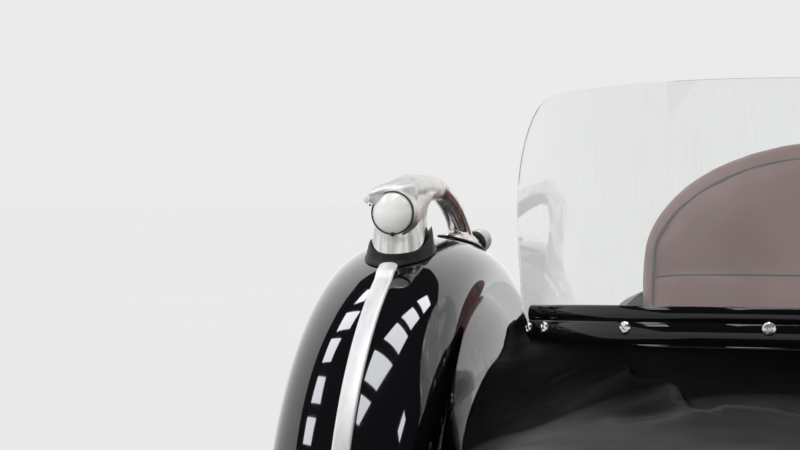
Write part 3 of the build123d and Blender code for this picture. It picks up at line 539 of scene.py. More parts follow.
def make_strips():
    """Rounded aluminium strips along the crown, each with one round end beside the handle."""
    across = np.linspace(-1, 1, 21)
    rise = 1 - 0.1 * across ** 2 - 0.75 * np.abs(across) ** 15
    nose = 0.5 * STRIP_HALF
    lap_rise, lap_length, lap_slope = 0.0034, 0.03, 0.012
    for node, start, stop in (("strip_front", GUARD_FRONT_DEG, STRIP_FRONT_DEG),
                              ("strip_rear", GUARD_REAR_DEG, STRIP_REAR_DEG)):
        length = radians(abs(stop - start)) * GUARD_R
        round_end = length - nose + nose * np.sin(np.linspace(0, pi / 2, 16))
        top, under = [], []
        for place in [*np.linspace(0, length - nose, 180)[:-1], *round_end]:
            past = max(0.0, place - (length - nose)) / nose
            half = STRIP_HALF * max(0.02, 1 - past ** 2.6) ** (1 / 2.6)
            angle = start + (stop - start) * place / length
            lap = lap_rise * min(1.0, max(0.0, (place - length + lap_length) / lap_slope)) + 0.0002
            share = np.sign(across) * np.abs(across * half / GUARD_HALF) ** (CROWN_POWER / 2)
            turns = np.degrees(np.arcsin(share))
            for row, grow in ((top, rise * STRIP_T + lap), (under, 0 * rise + lap)):
                row.append([guard_points([angle], [turn], g)[0, 0] for turn, g in zip(turns, grow)])
        keep(slab(node + "_bar", np.array(top), np.array(under), 50), "strip", "strip_metal", node)


# Handle casting


def at_handle(t, dz):
    """A place on the handle's middle plane: t along it from the front foot, dz above the axle."""
    return at(WHEEL_X + t * sin(HANDLE_TURN), HANDLE_FRONT_Y + t * cos(HANDLE_TURN), AXLE_Z + dz)


def crown_z(x, y):
    """The height of the crown above a place, from the axle."""
    share = min(1.0, abs(x - WHEEL_X) / GUARD_HALF)
    out = SPRING_R + GUARD_DEPTH * (1 - share ** CROWN_POWER) ** (1 / CROWN_POWER)
    return sqrt(out * out - y * y)


def ear_rise(turn):
    """How far the collar's edge rises at a turn: at both its sides, and more at the one towards the body."""
    side = cos(turn - EAR_TURN)
    return abs(side) ** 6 * (0.0115 + 0.005 * side)


def foot_ring(t, half_width, half_length, lift, ear=0.0, count=72):
    """An oval round a foot of the handle, at a height over the crown that may rise to the collar's ears."""
    ring = []
    for turn in turns_of(count):
        across, along = half_width * cos(turn), t + half_length * sin(turn)
        x = WHEEL_X + across * cos(HANDLE_TURN) + along * sin(HANDLE_TURN)
        y = HANDLE_FRONT_Y - across * sin(HANDLE_TURN) + along * cos(HANDLE_TURN)
        ring.append(at(x, y, AXLE_Z + crown_z(x, y) + (lift + ear * ear_rise(turn))))
    return ring


def make_collars():
    """The black rubber under each foot: a deep collar with raised ears at its sides, and a flat gasket."""
    collar = (  # half width, half length, height over the crown, share of the ear
        (0.037, 0.047, 0.0004, 0), (0.038, 0.0478, 0.001, 0), (0.038, 0.0472, 0.0022, 0),
        (0.0374, 0.042, 0.0032, 0), (0.0374, 0.04, 0.0055, 0), (0.0366, 0.0388, 0.0078, 0.25),
        (0.035, 0.0376, 0.0097, 0.8), (0.0338, 0.037, 0.0108, 1), (0.0331, 0.0368, 0.0104, 1),
        (0.0324, 0.0366, 0.002, 0),
    )
    gasket = (
        (0.024, 0.042, 0.0004), (0.0246, 0.0426, 0.001), (0.0244, 0.0424, 0.0022), (0.0225, 0.0405, 0.003),
        (0.01, 0.028, 0.003), (0.01, 0.028, 0.0004),
    )
    for name, t, rows, node in (("collar_front", 0, collar, "rubber_front"),
                                ("gasket_rear", REAR_FOOT_T, gasket, "rubber_rear")):
        rings = [foot_ring(t, *row) for row in rows]
        keep(loft(name, rings, closed=True), "rubber", "rubber", node)


def make_casting():
    lamp = at(LAMP_X, LAMP_Y, LAMP_Z)
    neck_rows = (  # t, half width, half length, height above the axle or None to follow the crown
        (0.0, 0.0328, 0.037, None), (0.0, 0.0312, 0.0358, 0.365), (0.0, 0.029, 0.0346, 0.377),
        (0.0, 0.0268, 0.0332, 0.39), (0.004, 0.0264, 0.0372, 0.403), (0.012, 0.0255, 0.044, 0.412),
        (0.02, 0.024, 0.05, 0.418),
    )
    rings = []
    for t, half_width, half_length, dz in neck_rows:
        ring = foot_ring(t, half_width, half_length, 0.003, count=40)
        if dz is not None:
            ring = [Vector((p.x, p.y, at(0, 0, AXLE_Z + dz).z)) for p in ring]
        rings.append(ring)
    neck = loft("neck", rings)
    barrel = ((0.0, 0.0248), (0.012, 0.0262), (0.03, 0.0245), (0.052, 0.018))
    housing = lathe("housing", lamp, (0, 1, 0), barrel, 48)
    flange_rows = ((0.0205, 0.033, 0.0018), (0.0222, 0.0345, 0.0022), (0.0222, 0.0345, 0.0038),
                   (0.0205, 0.033, 0.0048), (0.01, 0.024, 0.0056))
    flange = loft("flange", [foot_ring(REAR_FOOT_T, *row) for row in flange_rows])

    def by_lamp(x, y, z):
        return lamp + Vector((x, y, z))

    cap = oval_loft("cap", (  # X, Y and Z from the lamp, half width, half height
        (-0.0275, -0.0045, 0.016, 0.006, 0.006), (-0.021, 0.0, 0.0182, 0.0085, 0.009),
        (-0.012, 0.008, 0.0202, 0.0125, 0.012), (-0.002, 0.02, 0.0222, 0.018, 0.0146),
        (0.004, 0.04, 0.0246, 0.022, 0.0163), (0.008, 0.06, 0.0262, 0.0205, 0.016),
        (0.013, 0.085, 0.0262, 0.016, 0.0145), (0.0178, 0.108, 0.0245, 0.0125, 0.013),
        (0.0195, 0.117, 0.0228, 0.0105, 0.011),
    ), 40, by_lamp)
    brow = oval_loft("brow", (
        (-0.0235, -0.002, 0.0135, 0.0055, 0.0065), (-0.015, 0.002, 0.016, 0.0085, 0.01),
        (-0.005, 0.008, 0.018, 0.011, 0.0125), (0.006, 0.014, 0.019, 0.013, 0.014),
        (0.015, 0.024, 0.0195, 0.013, 0.0145),
    ), 24, by_lamp)
    arch = oval_loft("arch", (  # t, height above the axle, half width, half height
        (0.06, 0.4245, 0.0125, 0.0138), (0.086, 0.4228, 0.012, 0.0128), (0.1075, 0.415, 0.0122, 0.0127),
        (0.1275, 0.402, 0.0124, 0.0127), (0.1425, 0.3875, 0.0128, 0.013), (0.154, 0.37, 0.0138, 0.014),
        (0.16, 0.356, 0.015, 0.0152),
    ), 24, at_handle)
    shoe = oval_loft("shoe", (
        (0.122, 0.365, 0.009, 0.005), (0.14, 0.362, 0.015, 0.0095), (0.16, 0.3565, 0.0185, 0.0145),
        (0.178, 0.352, 0.0165, 0.0125), (REAR_LAMP_T - 0.006, 0.351, 0.0125, 0.0105),
    ), 20, at_handle)
    casting = fused("handle_casting_form", [neck, housing, cap, brow, arch, shoe, flange], 0.0011, 20)
    keep(casting, "casting", "cast_metal", "handle_casting")


def dome_profile(radius, edge, bulge, steps=14):
    """A lens: a short straight edge and a spherical face, from the back to the middle of the front."""
    ball = (radius * radius + bulge * bulge) / (2 * bulge)
    half = asin(radius / ball)
    rows = [(0.0, radius * 0.6), (0.0, radius - 0.001), (0.001, radius), (edge, radius)]
    for turn in half * np.linspace(1, 0, steps)[1:]:
        rows.append((edge + bulge - ball * (1 - cos(turn)), ball * sin(turn)))
    return rows


def make_lamps():
    """The front lamp with its bezel and catch, the small side lamp at the beak's tip, and the rear lamp."""
    lamp, forward = at(LAMP_X, LAMP_Y, LAMP_Z), Vector((0, -1, 0))
    lens = lathe("front_lens_dome", lamp, forward, dome_profile(LENS_R, 0.003, LENS_BULGE), 72)
    keep(lens, "front_opal", "opal", "front_lens")
    bezel = [(along, LENS_R + over) for along, over in (
        (0, 0.0002), (0, 0.0013), (0.0036, 0.0013), (0.0044, 0.0007), (0.0036, 0.0002))]
    keep(lathe("bezel_ring", lamp, forward, bezel, 72, closed=True), "trim", "bezel_metal", "lamp_bezel")
    catch = lamp + Vector((0.0003, -0.0034, -0.0006 - LENS_R))
    keep(lathe("bezel_catch", catch, forward, ((0, 0.0023), (0.0022, 0.0023), (0.0028, 0.0016)), 16, 30),
         "trim", "bezel_metal")
    tip = lamp + Vector((-0.027, -0.0045, 0.0158))
    lens = lathe("side_lens_dome", tip, (-0.75, -0.55, 0.15), dome_profile(0.0062, 0.001, 0.0042, 8), 32)
    keep(lens, "rear_opal", "opal", "side_lens")
    screw = lathe("side_lens_screw", tip + Vector((0.004, -0.006, -0.007)), (-0.3, -0.9, -0.25),
                  ((0, 0.0012), (0.001, 0.0012), (0.0014, 0.0008)), 12, 30)
    keep(screw, "trim", "bezel_metal")
    level = cos(REAR_LAMP_TILT)
    facing = (sin(HANDLE_TURN) * level, cos(HANDLE_TURN) * level, sin(REAR_LAMP_TILT))
    rear = at_handle(REAR_LAMP_T, REAR_LAMP_DZ)
    lens = lathe("rear_lens_dome", rear, facing, dome_profile(REAR_LAMP_R, 0.012, 0.0145), 56)
    for vertex in lens.data.vertices:
        spot = vertex.co - GROUND
        vertex.co.z = max(vertex.co.z, GROUND.z + AXLE_Z + crown_z(spot.x, spot.y) + 0.0005)
    keep(lens, "rear_opal", "opal", "rear_lens")
    gasket = [(along, REAR_LAMP_R + over) for along, over in (
        (-0.0075, -0.005), (-0.007, -0.0028), (-0.0002, -0.0016), (0.0004, -0.0024), (0.0004, -0.005))]
    keep(lathe("rear_lens_gasket", rear, facing, gasket, 56, closed=True), "rubber", "rubber")


# Windscreen rail


def raked(points):
    """Points of the upright screen leant back about its foot."""
    points = np.array(points, float)
    y, z = points[..., 1] - SCREEN_Y, points[..., 2] - RAIL_TOP_Z
    turn = -SCREEN_RAKE
    points[..., 1] = SCREEN_Y + y * cos(turn) - z * sin(turn)
    points[..., 2] = RAIL_TOP_Z + y * sin(turn) + z * cos(turn)
    return points


def on_screen(run, out, z):
    """A place by the bent sheet: length round it from the middle, distance out from its face, height."""
    turn = min(abs(run) / SHEET_R, SHEET_BEND)
    straight = max(0.0, abs(run) - SHEET_R * SHEET_BEND)
    x = (SHEET_R + out) * sin(turn) + straight * cos(turn)
    y = SCREEN_Y + SCREEN_R - (SHEET_R + out) * cos(turn) + straight * sin(turn)
    return (x if run > 0 else -x, y, z)


def make_windscreen():
    """Clear sheet, bent at the middle and straight at the ends, with a round corner and bowed edge a side."""
    half = SHEET_HALF * np.sin(np.linspace(-pi / 2, pi / 2, 161))
    reach = np.abs(half)
    past = np.clip((reach - SHEET_CORNER) / (SHEET_HALF - SHEET_CORNER), 0, 1)
    top = SHEET_TIP_Z + (SHEET_TOP_Z - SHEET_TIP_Z) * (1 - past ** 2.2) ** (1 / 2.2)
    low = np.maximum(SHEET_LOW_Z, SHEET_TIP_Z - ((SHEET_HALF - reach) / 0.51) ** (1 / 1.328))
    low = np.minimum(low, top)
    shares = np.linspace(0, 1, 41)
    skins = [
        BASE + raked([[on_screen(run, out, RAIL_TOP_Z + foot + (head - foot) * share) for share in shares]
                      for run, foot, head in zip(half, low, top)])
        for out in (0.0, -SHEET_T)]
    keep(slab("windscreen_sheet", *skins, 50), "screen", "clear_screen", "windscreen")


def make_rail():
    """The black band on the sheet's foot: a round top, a groove and a fuller lower part, with round ends."""
    bite = 0.006
    end = np.linspace(RAIL_HALF - bite, RAIL_HALF, 7)
    runs = [*-end[:0:-1], *np.linspace(-RAIL_HALF + bite, RAIL_HALF - bite, 161), *end[1:]]
    section = (  # share of the way down, how far the face stands out
        (0.0, -0.0022), (0.012, -0.0006), (0.05, 0.0006), (0.12, 0.0015), (0.22, 0.0018), (0.3, 0.0013),
        (0.345, 0.0003), (0.362, -0.0012), (0.378, 0.0004), (0.43, 0.0018), (0.54, 0.0031), (0.66, 0.0035),
        (0.78, 0.0028), (0.86, 0.0014), (0.9, 0.0006), (0.925, 0.0018), (0.96, 0.0022), (0.99, 0.001),
        (1.0, -0.0012),
    )
    outer, inner = [], []
    for run in runs:
        near = max(0.0, 1 - (RAIL_HALF - abs(run)) / bite)
        shrink = 1 - sqrt(max(0.0, 1 - near * near))
        top, height = RAIL_TOP_Z - 0.2 * shrink * RAIL_DEPTH, RAIL_DEPTH * (1 - 0.4 * shrink)
        face, relief = RAIL_T - 0.001 * shrink, 1 - shrink
        outer.append([on_screen(run, face + out * relief, top - share * height) for share, out in section])
        inner.append([on_screen(run, 0.0005, top - share * height) for share, _ in section])
    band = slab("rail_band", BASE + raked(outer), BASE + raked(inner), 60)
    keep(band, "rail_paint", "rail_metal", "screen_rail")


def screw_at(place, facing, radius=0.0068):
    """A domed screw head with a cross recess."""
    facing = Vector(facing).normalized()
    side = facing.cross(Vector((0, 0, 1))).normalized()
    up = side.cross(facing)
    turned, slot_half, slot_reach, slot_depth = 0.6, 0.11, 0.66, 0.0016
    rings = []
    for share, height in ((1, 0.0), (1, 0.001), (0.93, 0.0019), (0.8, 0.0026), (0.62, 0.0031), (0.45, 0.0034),
                          (0.3, 0.0036), (0.16, 0.0037), (0.05, 0.0037)):
        ring = []
        for turn in turns_of(32):
            arm = min(abs(sin(turn - turned)), abs(cos(turn - turned))) * share
            sunk = slot_depth if arm < slot_half and share < slot_reach else 0.0
            out = (side * cos(turn) + up * sin(turn)) * radius * share
            ring.append(place + out + facing * (height - sunk))
        rings.append(ring)
    return loft("screw", rings, 40)


def make_rail_screws():
    screws = []
    for run in (-0.322, -0.273, -0.145, 0.0, 0.145, 0.273, 0.322):
        z = RAIL_TOP_Z - (0.49 + 0.3 * abs(run)) * RAIL_DEPTH
        place, beyond = (Vector(BASE + raked(on_screen(run, RAIL_T + out, z))) for out in (0.0024, 0.05))
        screws.append(screw_at(place, beyond - place))
    keep(joined("rail_screws", screws), "screw", "hinge_metal")


# Apron

APRON_ROWS = (  # top X, Y, Z; shoulder X, Y, Z; hem Z, from the left end to the middle
    (-0.2905, -0.083, 0.603, -0.302, -0.076, 0.592, 0.5),
    (-0.28, -0.115, 0.603, -0.3015, -0.112, 0.588, 0.498),
    (-0.269, -0.148, 0.59, -0.295, -0.15, 0.58, 0.494),
    (-0.255, -0.18, 0.587, -0.2918, -0.205, 0.567, 0.488),
    (-0.225, -0.225, 0.588, -0.2915, -0.275, 0.553, 0.48),
    (-0.19, -0.262, 0.59, -0.2885, -0.35, 0.527, 0.47),
    (-0.15, -0.292, 0.5915, -0.2735, -0.43, 0.508, 0.464),
    (-0.105, -0.313, 0.5915, -0.25, -0.53, 0.507, 0.458),
    (-0.055, -0.327, 0.5915, -0.18, -0.655, 0.513, 0.452),
    (0.0, -0.332, 0.5915, 0.0, -0.716, 0.51, 0.452),
)
S_FOLD = (
    (-0.142, -0.352), (-0.129, -0.37), (-0.1235, -0.398), (-0.118, -0.421), (-0.108, -0.434),
    (-0.0946, -0.438), (-0.0815, -0.441), (-0.07, -0.461), (-0.066, -0.477), (-0.064, -0.4885),
    (-0.056, -0.502), (-0.0476, -0.514), (-0.04, -0.5145), (-0.0276, -0.507), (0.007, -0.509),
    (0.04, -0.508), (0.1, -0.5), (0.15, -0.48),
)
UPPER_FOLD = ((-0.21, -0.338), (-0.1486, -0.341), (-0.1217, -0.34), (-0.0863, -0.3395), (-0.04, -0.346))
HOLLOW = (-0.088, -0.506, 0.03, 0.016)


def fold(points, line, rise, near, far, sink):
    """Heights for a fold along a line: a ridge that falls off slowly on one side and dips on the other."""
    line = np.array(line)
    best = np.full(points.shape[:2], 1e9)
    signed = np.zeros(points.shape[:2])
    share = np.zeros(points.shape[:2])
    for k in range(len(line) - 1):
        start, run = line[k], line[k + 1] - line[k]
        away = points[..., :2] - start
        t = np.clip((away @ run) / (run @ run), 0, 1)
        distance = np.linalg.norm(away - t[..., None] * run, axis=-1)
        side = np.sign(run[0] * away[..., 1] - run[1] * away[..., 0])
        closer = distance < best
        best = np.where(closer, distance, best)
        signed = np.where(closer, distance * side, signed)
        share = np.where(closer, (k + t) / (len(line) - 1), share)
    fade = np.clip(share / 0.12, 0, 1) * np.clip((1 - share) / 0.2, 0, 1)
    nearside = rise * np.exp(np.minimum(signed, 0) / near)
    past = np.maximum(signed, 0) / far
    farside = (rise + sink) * np.exp(-past ** 2) - sink * np.exp(-past / 3)
    return np.where(signed < 0, nearside, farside) * fade


def waviness(points, scale, shift, rough, octaves):
    """Smooth uneven heights at the points of a grid."""
    places = points * scale + shift
    return np.array([[noise.fractal(Vector(place), rough, 2.0, octaves) for place in row] for row in places])


def make_apron():
    """Leathercloth stretched from the rail over the body's shoulders, slack in front, with its S fold."""
    left = np.array(APRON_ROWS)
    right = left[-2::-1].copy()
    right[:, (0, 3)] *= -1
    around = through(np.vstack([left, right]), 281)
    sheet = []
    for top_x, top_y, top_z, x, y, z, hem in around:
        top, shoulder = np.array((top_x, top_y, top_z)), np.array((x, y, z))
        run = shoulder - top
        length = hypot(run[0], run[1])
        out = np.array((run[0], run[1], 0)) / max(length, 1e-6)
        drop = z - hem
        rows = (
            top + (0, 0, 0.004), top, top + 0.3 * run - (0, 0, 0.014 * length),
            top + 0.62 * run - (0, 0, 0.02 * length), top + 0.9 * run + (0, 0, 0.002),
            shoulder - (0, 0, 0.004), shoulder + out * 0.003 - (0, 0, 0.22 * drop),
            shoulder + out * 0.003 - (0, 0, 0.6 * drop), shoulder + out * 0.002 - (0, 0, drop),
        )
        sheet.append(through(rows, 161))
    sheet = np.array(sheet)
    loose = np.clip((sheet[..., 2] - 0.51) / 0.03, 0, 1) * np.clip((0.5905 - sheet[..., 2]) / 0.006, 0, 1)
    loose *= np.clip((-0.12 - sheet[..., 1]) / 0.1, 0, 1)
    lift = fold(sheet, S_FOLD, 0.014, 0.06, 0.0045, 0.007)
    lift += fold(sheet, UPPER_FOLD, 0.006, 0.018, 0.006, 0.003)
    x0, y0, wide, deep = HOLLOW
    lift -= 0.006 * np.exp(-(((sheet[..., 0] - x0) / wide) ** 2 + ((sheet[..., 1] - y0) / deep) ** 2))
    lift += 0.0045 * waviness(sheet, (4.2, 3.2, 0), (3.1, 0, 0.7), 1.0, 3)
    lift += 0.0011 * waviness(sheet, (17, 21, 0), (0, 5, 2.3), 0.9, 3)
    sheet[..., 2] += lift * loose
    hang = np.clip((0.56 - sheet[..., 2]) / 0.05, 0, 1)
    sheet[..., 0] += np.sign(sheet[..., 0]) * 0.0022 * waviness(sheet, (9, 9, 3), 0, 0.9, 2) * hang
    apron = new_piece("apron_cloth", (BASE + sheet).reshape(-1, 3), grid_faces(*sheet.shape[:2]).tolist())
    keep(apron, "apron", "apron_cloth", "apron")
    hem = tube("apron_hem", BASE + sheet[:, -1], 0.0016, False, 8)
    keep(hem, "apron", "apron_cloth")
    dome = ((0, 0.0062), (0.0016, 0.006), (0.003, 0.0045), (0.0034, 0.001))
    studs = []
    for spot in sheet[12:270:16, -7]:
        studs.append(lathe("stud", BASE + spot, (spot[0], 0.6 * (spot[1] + 0.35), 0), dome, 20))
    keep(joined("apron_studs", studs), "chrome", "hinge_metal")


# Seat


def seat_place(across, up, out):
    """A place on the leaning seat back: across it, up along it from the cushion, and out from its front."""
    return at(across, SEAT_BACK_Y + up * sin(SEAT_LEAN) - out * cos(SEAT_LEAN),
              CUSHION_TOP_Z + up * cos(SEAT_LEAN) + out * sin(SEAT_LEAN))


BACK_RISE = (SEAT_TOP_Z - CUSHION_TOP_Z) / cos(SEAT_LEAN)
BACK_FOOT = -0.004
ROLL_UP = 0.1925


def back_outline(spread):
    """The arch of the seat back from foot to foot over the top: 0 is its front edge, 1 its widest line."""
    shy = SEAT_EDGE * (1 - spread)
    half, shoulder = SEAT_HALF - 0.6 * shy, SEAT_SHOULDER - 0.3 * shy
    high, power = BACK_RISE - shy - shoulder, 2 / SEAT_CROWN
    legs = np.linspace(BACK_FOOT, shoulder, 21)[:-1]
    arch = [(half * np.sign(cos(turn)) * abs(cos(turn)) ** power, shoulder + high * sin(turn) ** power)
            for turn in np.linspace(0, pi, 80)]
    return [(half, up) for up in legs] + arch + [(-half, up) for up in legs[::-1]]


def make_seat_back():
    """A padded arch with a piped front edge, a boxed side that swells outwards and a roll at its foot."""
    centre = 0.16
    roll_middle, roll_half, roll_rise = 0.1, 0.105, 0.012
    rings = []
    for scale, out in ((0.02, 0.016), (0.3, 0.016), (0.55, 0.0145), (0.75, 0.011), (0.9, 0.006),
                       (0.97, 0.002), (0.99, -0.001)):
        ring = []
        for across, up in back_outline(0.0):
            u = centre + (up - centre) * scale
            roll = roll_rise * max(0.0, 1 - ((u - roll_middle) / roll_half) ** 2) if u < ROLL_UP else 0.0
            ring.append(seat_place(across * scale, u, out + roll * min(1.0, 2.5 * (1 - scale) + 0.2)))
        rings.append(ring)
    for spread, out in ((0.1, -0.001), (0.42, -0.006), (0.72, -0.014), (0.92, -0.026), (1.0, -0.04),
                        (0.95, -0.055), (0.78, -0.067), (0.5, -0.073)):
        rings.append([seat_place(across, up, out) for across, up in back_outline(spread)])
    rings.append([seat_place(0.6 * across, centre + 0.6 * (up - centre), -SEAT_BACK_T)
                  for across, up in back_outline(0.5)])
    back = puffed(loft("seat_back_pad", rings), 0.004)
    bpy.context.view_layer.update()
    outward = seat_place(0, 0, 1) - seat_place(0, 0, 0)
    seam = []
    for across in np.linspace(-0.193, 0.193, 40):
        place = back.ray_cast(seat_place(across, ROLL_UP, 0.1), -outward)[1]
        seam.append(place + 0.0003 * outward)
    keep(back, "seat", "seat_cover", "seat_back")
    edge = [seat_place(across, up, 0.0015) for across, up in back_outline(0.02)]
    keep(tube("seat_back_piping", edge, 0.0019), "piping", "seat_cover")
    keep(tube("seat_back_seam", seam, 0.0014), "piping", "seat_cover")


def rounded_plan(half_x, half_y):
    """A rectangle with rounded corners, evenly walked."""
    count, power = 96, 2 / 7
    points = []
    for turn in turns_of(count):
        c, s = cos(turn + pi / count), sin(turn + pi / count)
        points.append((half_x * np.sign(c) * abs(c) ** power, half_y * np.sign(s) * abs(s) ** power))
    return points


def make_seat_cushion():
    """A crowned cushion with piped edges and sewn channels."""
    low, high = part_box("seat_cushion")
    middle = (low + high) / 2
    half_x, half_y, half_z = (high - low) / 2
    plan = rounded_plan(half_x - 0.004, half_y - 0.004)
    rings = []
    for scale, z in ((0.05, -1), (0.9, -1), (0.985, -0.9), (1, -0.4), (1, 0.3), (0.985, 0.62), (0.95, 0.74),
                     (0.85, 0.84), (0.65, 0.93), (0.4, 0.965), (0.02, 0.975)):
        rings.append([middle + Vector((x * scale, y * scale, half_z * z)) for x, y in plan])
    cushion = puffed(loft("seat_cushion_pad", rings), 0.005, 0.006)
    points = np.array([v.co for v in cushion.data.vertices])
    across = points[:, 0] - middle.x
    top = np.clip((points[:, 2] - middle.z) / half_z - 0.6, 0, 0.3) / 0.3
    channel, deep = 0.072, 0.007
    groove = np.abs(np.sin(pi * across / channel)) ** 0.5
    inside = np.clip(1.3 * (1 - np.abs(across) / half_x) / 0.2, 0, 1)
    points[:, 2] += (groove - 0.8) * deep * top * inside
    cushion.data.vertices.foreach_set("co", points.ravel())
    keep(cushion, "seat", "seat_cover", "seat_cushion")
    edge = [middle + Vector((x * 0.975, y * 0.975, half_z * 0.72)) for x, y in plan]
    keep(tube("seat_cushion_piping", edge, 0.0036, True), "piping", "seat_cover")


# Wheel


def make_tyre():
    """Tyre with a rounded crown, zigzag ribs, shoulder cuts and raised lines on its sides."""
    count, blocks, groove_depth, groove_half = 720, 60, 0.0045, 0.0021
    tread = []
    for x in 0.87 * TYRE_HALF * np.linspace(-1, 1, 49):
        rise = sqrt(1 - (x / (1.02 * TYRE_HALF)) ** 2) ** 1.15
        tread.append((x, SHOULDER_R + (AXLE_Z - SHOULDER_R) * rise, True))
    edge_r = tread[0][1]
    side = []
    for s in np.linspace(0, 1, 13)[1:]:
        x = -0.031 - 0.0146 * sin(pi * (0.18 + 0.62 * s))
        side.append((x, edge_r + (BEAD_R + 0.014 - edge_r) * s, False))
    angles = np.array(turns_of(count))
    phase = np.abs((angles * blocks / (2 * pi)) % 1 - 0.5)
    zigzag = 0.0022 * (2 * phase - 0.5)
    rings = []
    for x, r, grooved in side[::-1] + tread + [(-x, r, flag) for x, r, flag in side]:
        deep = np.zeros(count)
        if grooved:
            for place in (-0.024, -0.009, 0.009, 0.024):
                deep = np.maximum(deep, np.clip((groove_half - np.abs(x - place - zigzag)) / 0.0008, 0, 1))
            if abs(x) > 0.026:
                deep = np.maximum(deep, phase < 0.12)
        elif min(abs(r - 0.281), abs(r - 0.256)) < 0.003:
            deep -= 0.1
        rings.append(round_axle(WHEEL_X + x, r - groove_depth * deep, angles))
    keep(loft("tyre_tread", rings, 30, True), "tyre", "tyre", "tyre", body="wheel")


def make_nipples():
    """A plated nipple where each spoke meets the rim."""
    rim_r = BEAD_R - 0.0191
    profile = ((0, 0.0022), (0.001, 0.003), (0.011, 0.0032), (0.0135, 0.0045))
    nipples = []
    for x_hub, r_hub, x_rim, start in ((-0.0355, 0.053, -0.008, 0), (0.0105, 0.0965, 0.008, 5)):
        for k in range(18):
            lean = 1 if k % 2 else -1
            base = radians(start + 20 * k)
            tip = base + radians(lean * 34 * 0.058 / r_hub)
            off = lean * 0.0047
            head = AXLE + Vector((x_hub + off, r_hub * cos(base), r_hub * sin(base)))
            end = AXLE + Vector((x_rim + 0.4 * off, rim_r * cos(tip), rim_r * sin(tip)))
            along = (end - head).normalized()
            nipples.append(lathe("nipple", end - along * 0.013, along, profile, 10))
    keep(joined("spoke_nipples", nipples), "chrome", "wheel_metal", body="wheel")


# Small fasteners


def nut_at(place, across, height, stud):
    """A hexagon nut that faces the motorcycle, on its washer and with a rounded stud through it."""
    facing, side, up = square_to((1, 0, 0))
    rings = [ring_at(place + facing * level, side, up, across * 0.577 * share, 6)
             for share, level in ((1.0, 0.0), (1.0, height * 0.85), (0.88, height))]
    end = ((0, stud), (height + 0.004, stud), (height + 0.0055, stud * 0.6))
    washer = ((0, across * 0.62), (0.0016, across * 0.62), (0.0017, across * 0.55))
    return [loft("bolt", rings, 20), lathe("bolt", place, facing, end, 16, 40),
            lathe("bolt", place, facing, washer, 24, 30)]


def make_fasteners():
    """The nut of the swing arm's pivot and those at the upper ends of the stays."""
    parts = nut_at(at(-0.2875, -0.235, 0.172), 0.03, 0.012, 0.009)
    for y, z in ((-0.278, 0.395), (0.268, 0.4)):
        for share, drop in ((1, 0.012), (0.97, 0.036)):
            parts += nut_at(at(-0.3265, y * share, z - drop), 0.013, 0.006, 0.0035)
    keep(joined("chassis_bolts", parts), "steel", "axle_steel")


def skin_height(x, y):
    """The height of the body shell's skin under a place, in the row frame."""
    hit, place, _, _ = frame["nodes"]["body_shell"].ray_cast(at(x, y, 1.2), Vector((0, 0, -1)))
    return place.z if hit else None


def make_cockpit_bead():
    """The rolled padded edge round the cockpit."""
    front, rear, half, front_r, rear_r = -0.64, 0.4, 0.23, 0.2, 0.06
    path = []
    for side, y, r, start in ((1, rear - rear_r, rear_r, 90), (1, front + front_r, front_r, 0),
                              (-1, front + front_r, front_r, -90), (-1, rear - rear_r, rear_r, 180)):
        for turn in np.radians(np.linspace(start, start - 90, 14)):
            path.append((side * (half - r) + r * cos(turn), y + r * sin(turn)))
    spots = []
    for (x0, y0), (x1, y1) in zip(path, path[1:] + path[:1]):
        steps = max(1, int(hypot(x1 - x0, y1 - y0) / 0.02))
        for s in range(steps):
            x, y = x0 + (x1 - x0) * s / steps, y0 + (y1 - y0) * s / steps
            grow = 1 + 0.012 / hypot(x, 0.9 * (y + 0.12))
            z = skin_height(x * grow, -0.12 + (y + 0.12) * grow)
            if z is not None:
                edge = at(x, y, 0)
                spots.append((edge.x, edge.y, z + 0.001))
    keep(tube("cockpit_bead", spots, 0.0075, True, 14), "trim", "trim_rubber")


# CAD nodes that keep their own form

NODE_FINISHES = {
    "paint": ("body_shell", "boot_lid"),
    "chassis": ("frame_rail_left", "frame_rail_right", "frame_bow", "cross_tubes", "spring_housing",
                "swing_arm", "lower_arm_front", "lower_arm_rear", "upper_lugs", "guard_stays", "brake_plate",
                "screen_bow", "screen_pillars"),
    "chrome": ("rim", "spokes", "hinge_fixed", "hinge_moving", "lid_handle", "hub_cap"),
    "alloy": ("hub",),
    "steel": ("axle",),
    "rubber": ("body_mounts",),
    "trim": ("cockpit_trim",),
    "board": ("floor_board", "bulkhead", "seat_base"),
}


def dress_nodes():
    for finish, nodes in NODE_FINISHES.items():
        for node in nodes:
            slots = frame["nodes"][node].data.materials
            if not slots:
                slots.append(None)
            for k in range(len(slots)):
                slots[k] = FINISHES[finish].material


# Stage, light and camera


def emitter(name, colour, strength):
    material = bpy.data.materials.new(name)
    material.use_nodes = True
    tree = material.node_tree
    tree.nodes.clear()
    glow = wired(tree, "Emission", Color=(*colour, 1.0), Strength=strength)
    wired(tree, "OutputMaterial", glow.outputs[0])
    return material


def stage_panel(name, quads, height, material):
    """Flat panels overhead that only reflections see, as a studio ceiling with roof lights."""
    points, faces = [], []
    for quad in quads:
        faces.append(tuple(range(len(points), len(points) + len(quad))))
        points += [at(x, y, height) for x, y in quad]
    panel = new_piece(name, points, faces)
    panel.data.materials.append(material)
    for kind in ("camera", "diffuse", "transmission", "volume_scatter", "shadow"):
        setattr(panel, f"visible_{kind}", False)


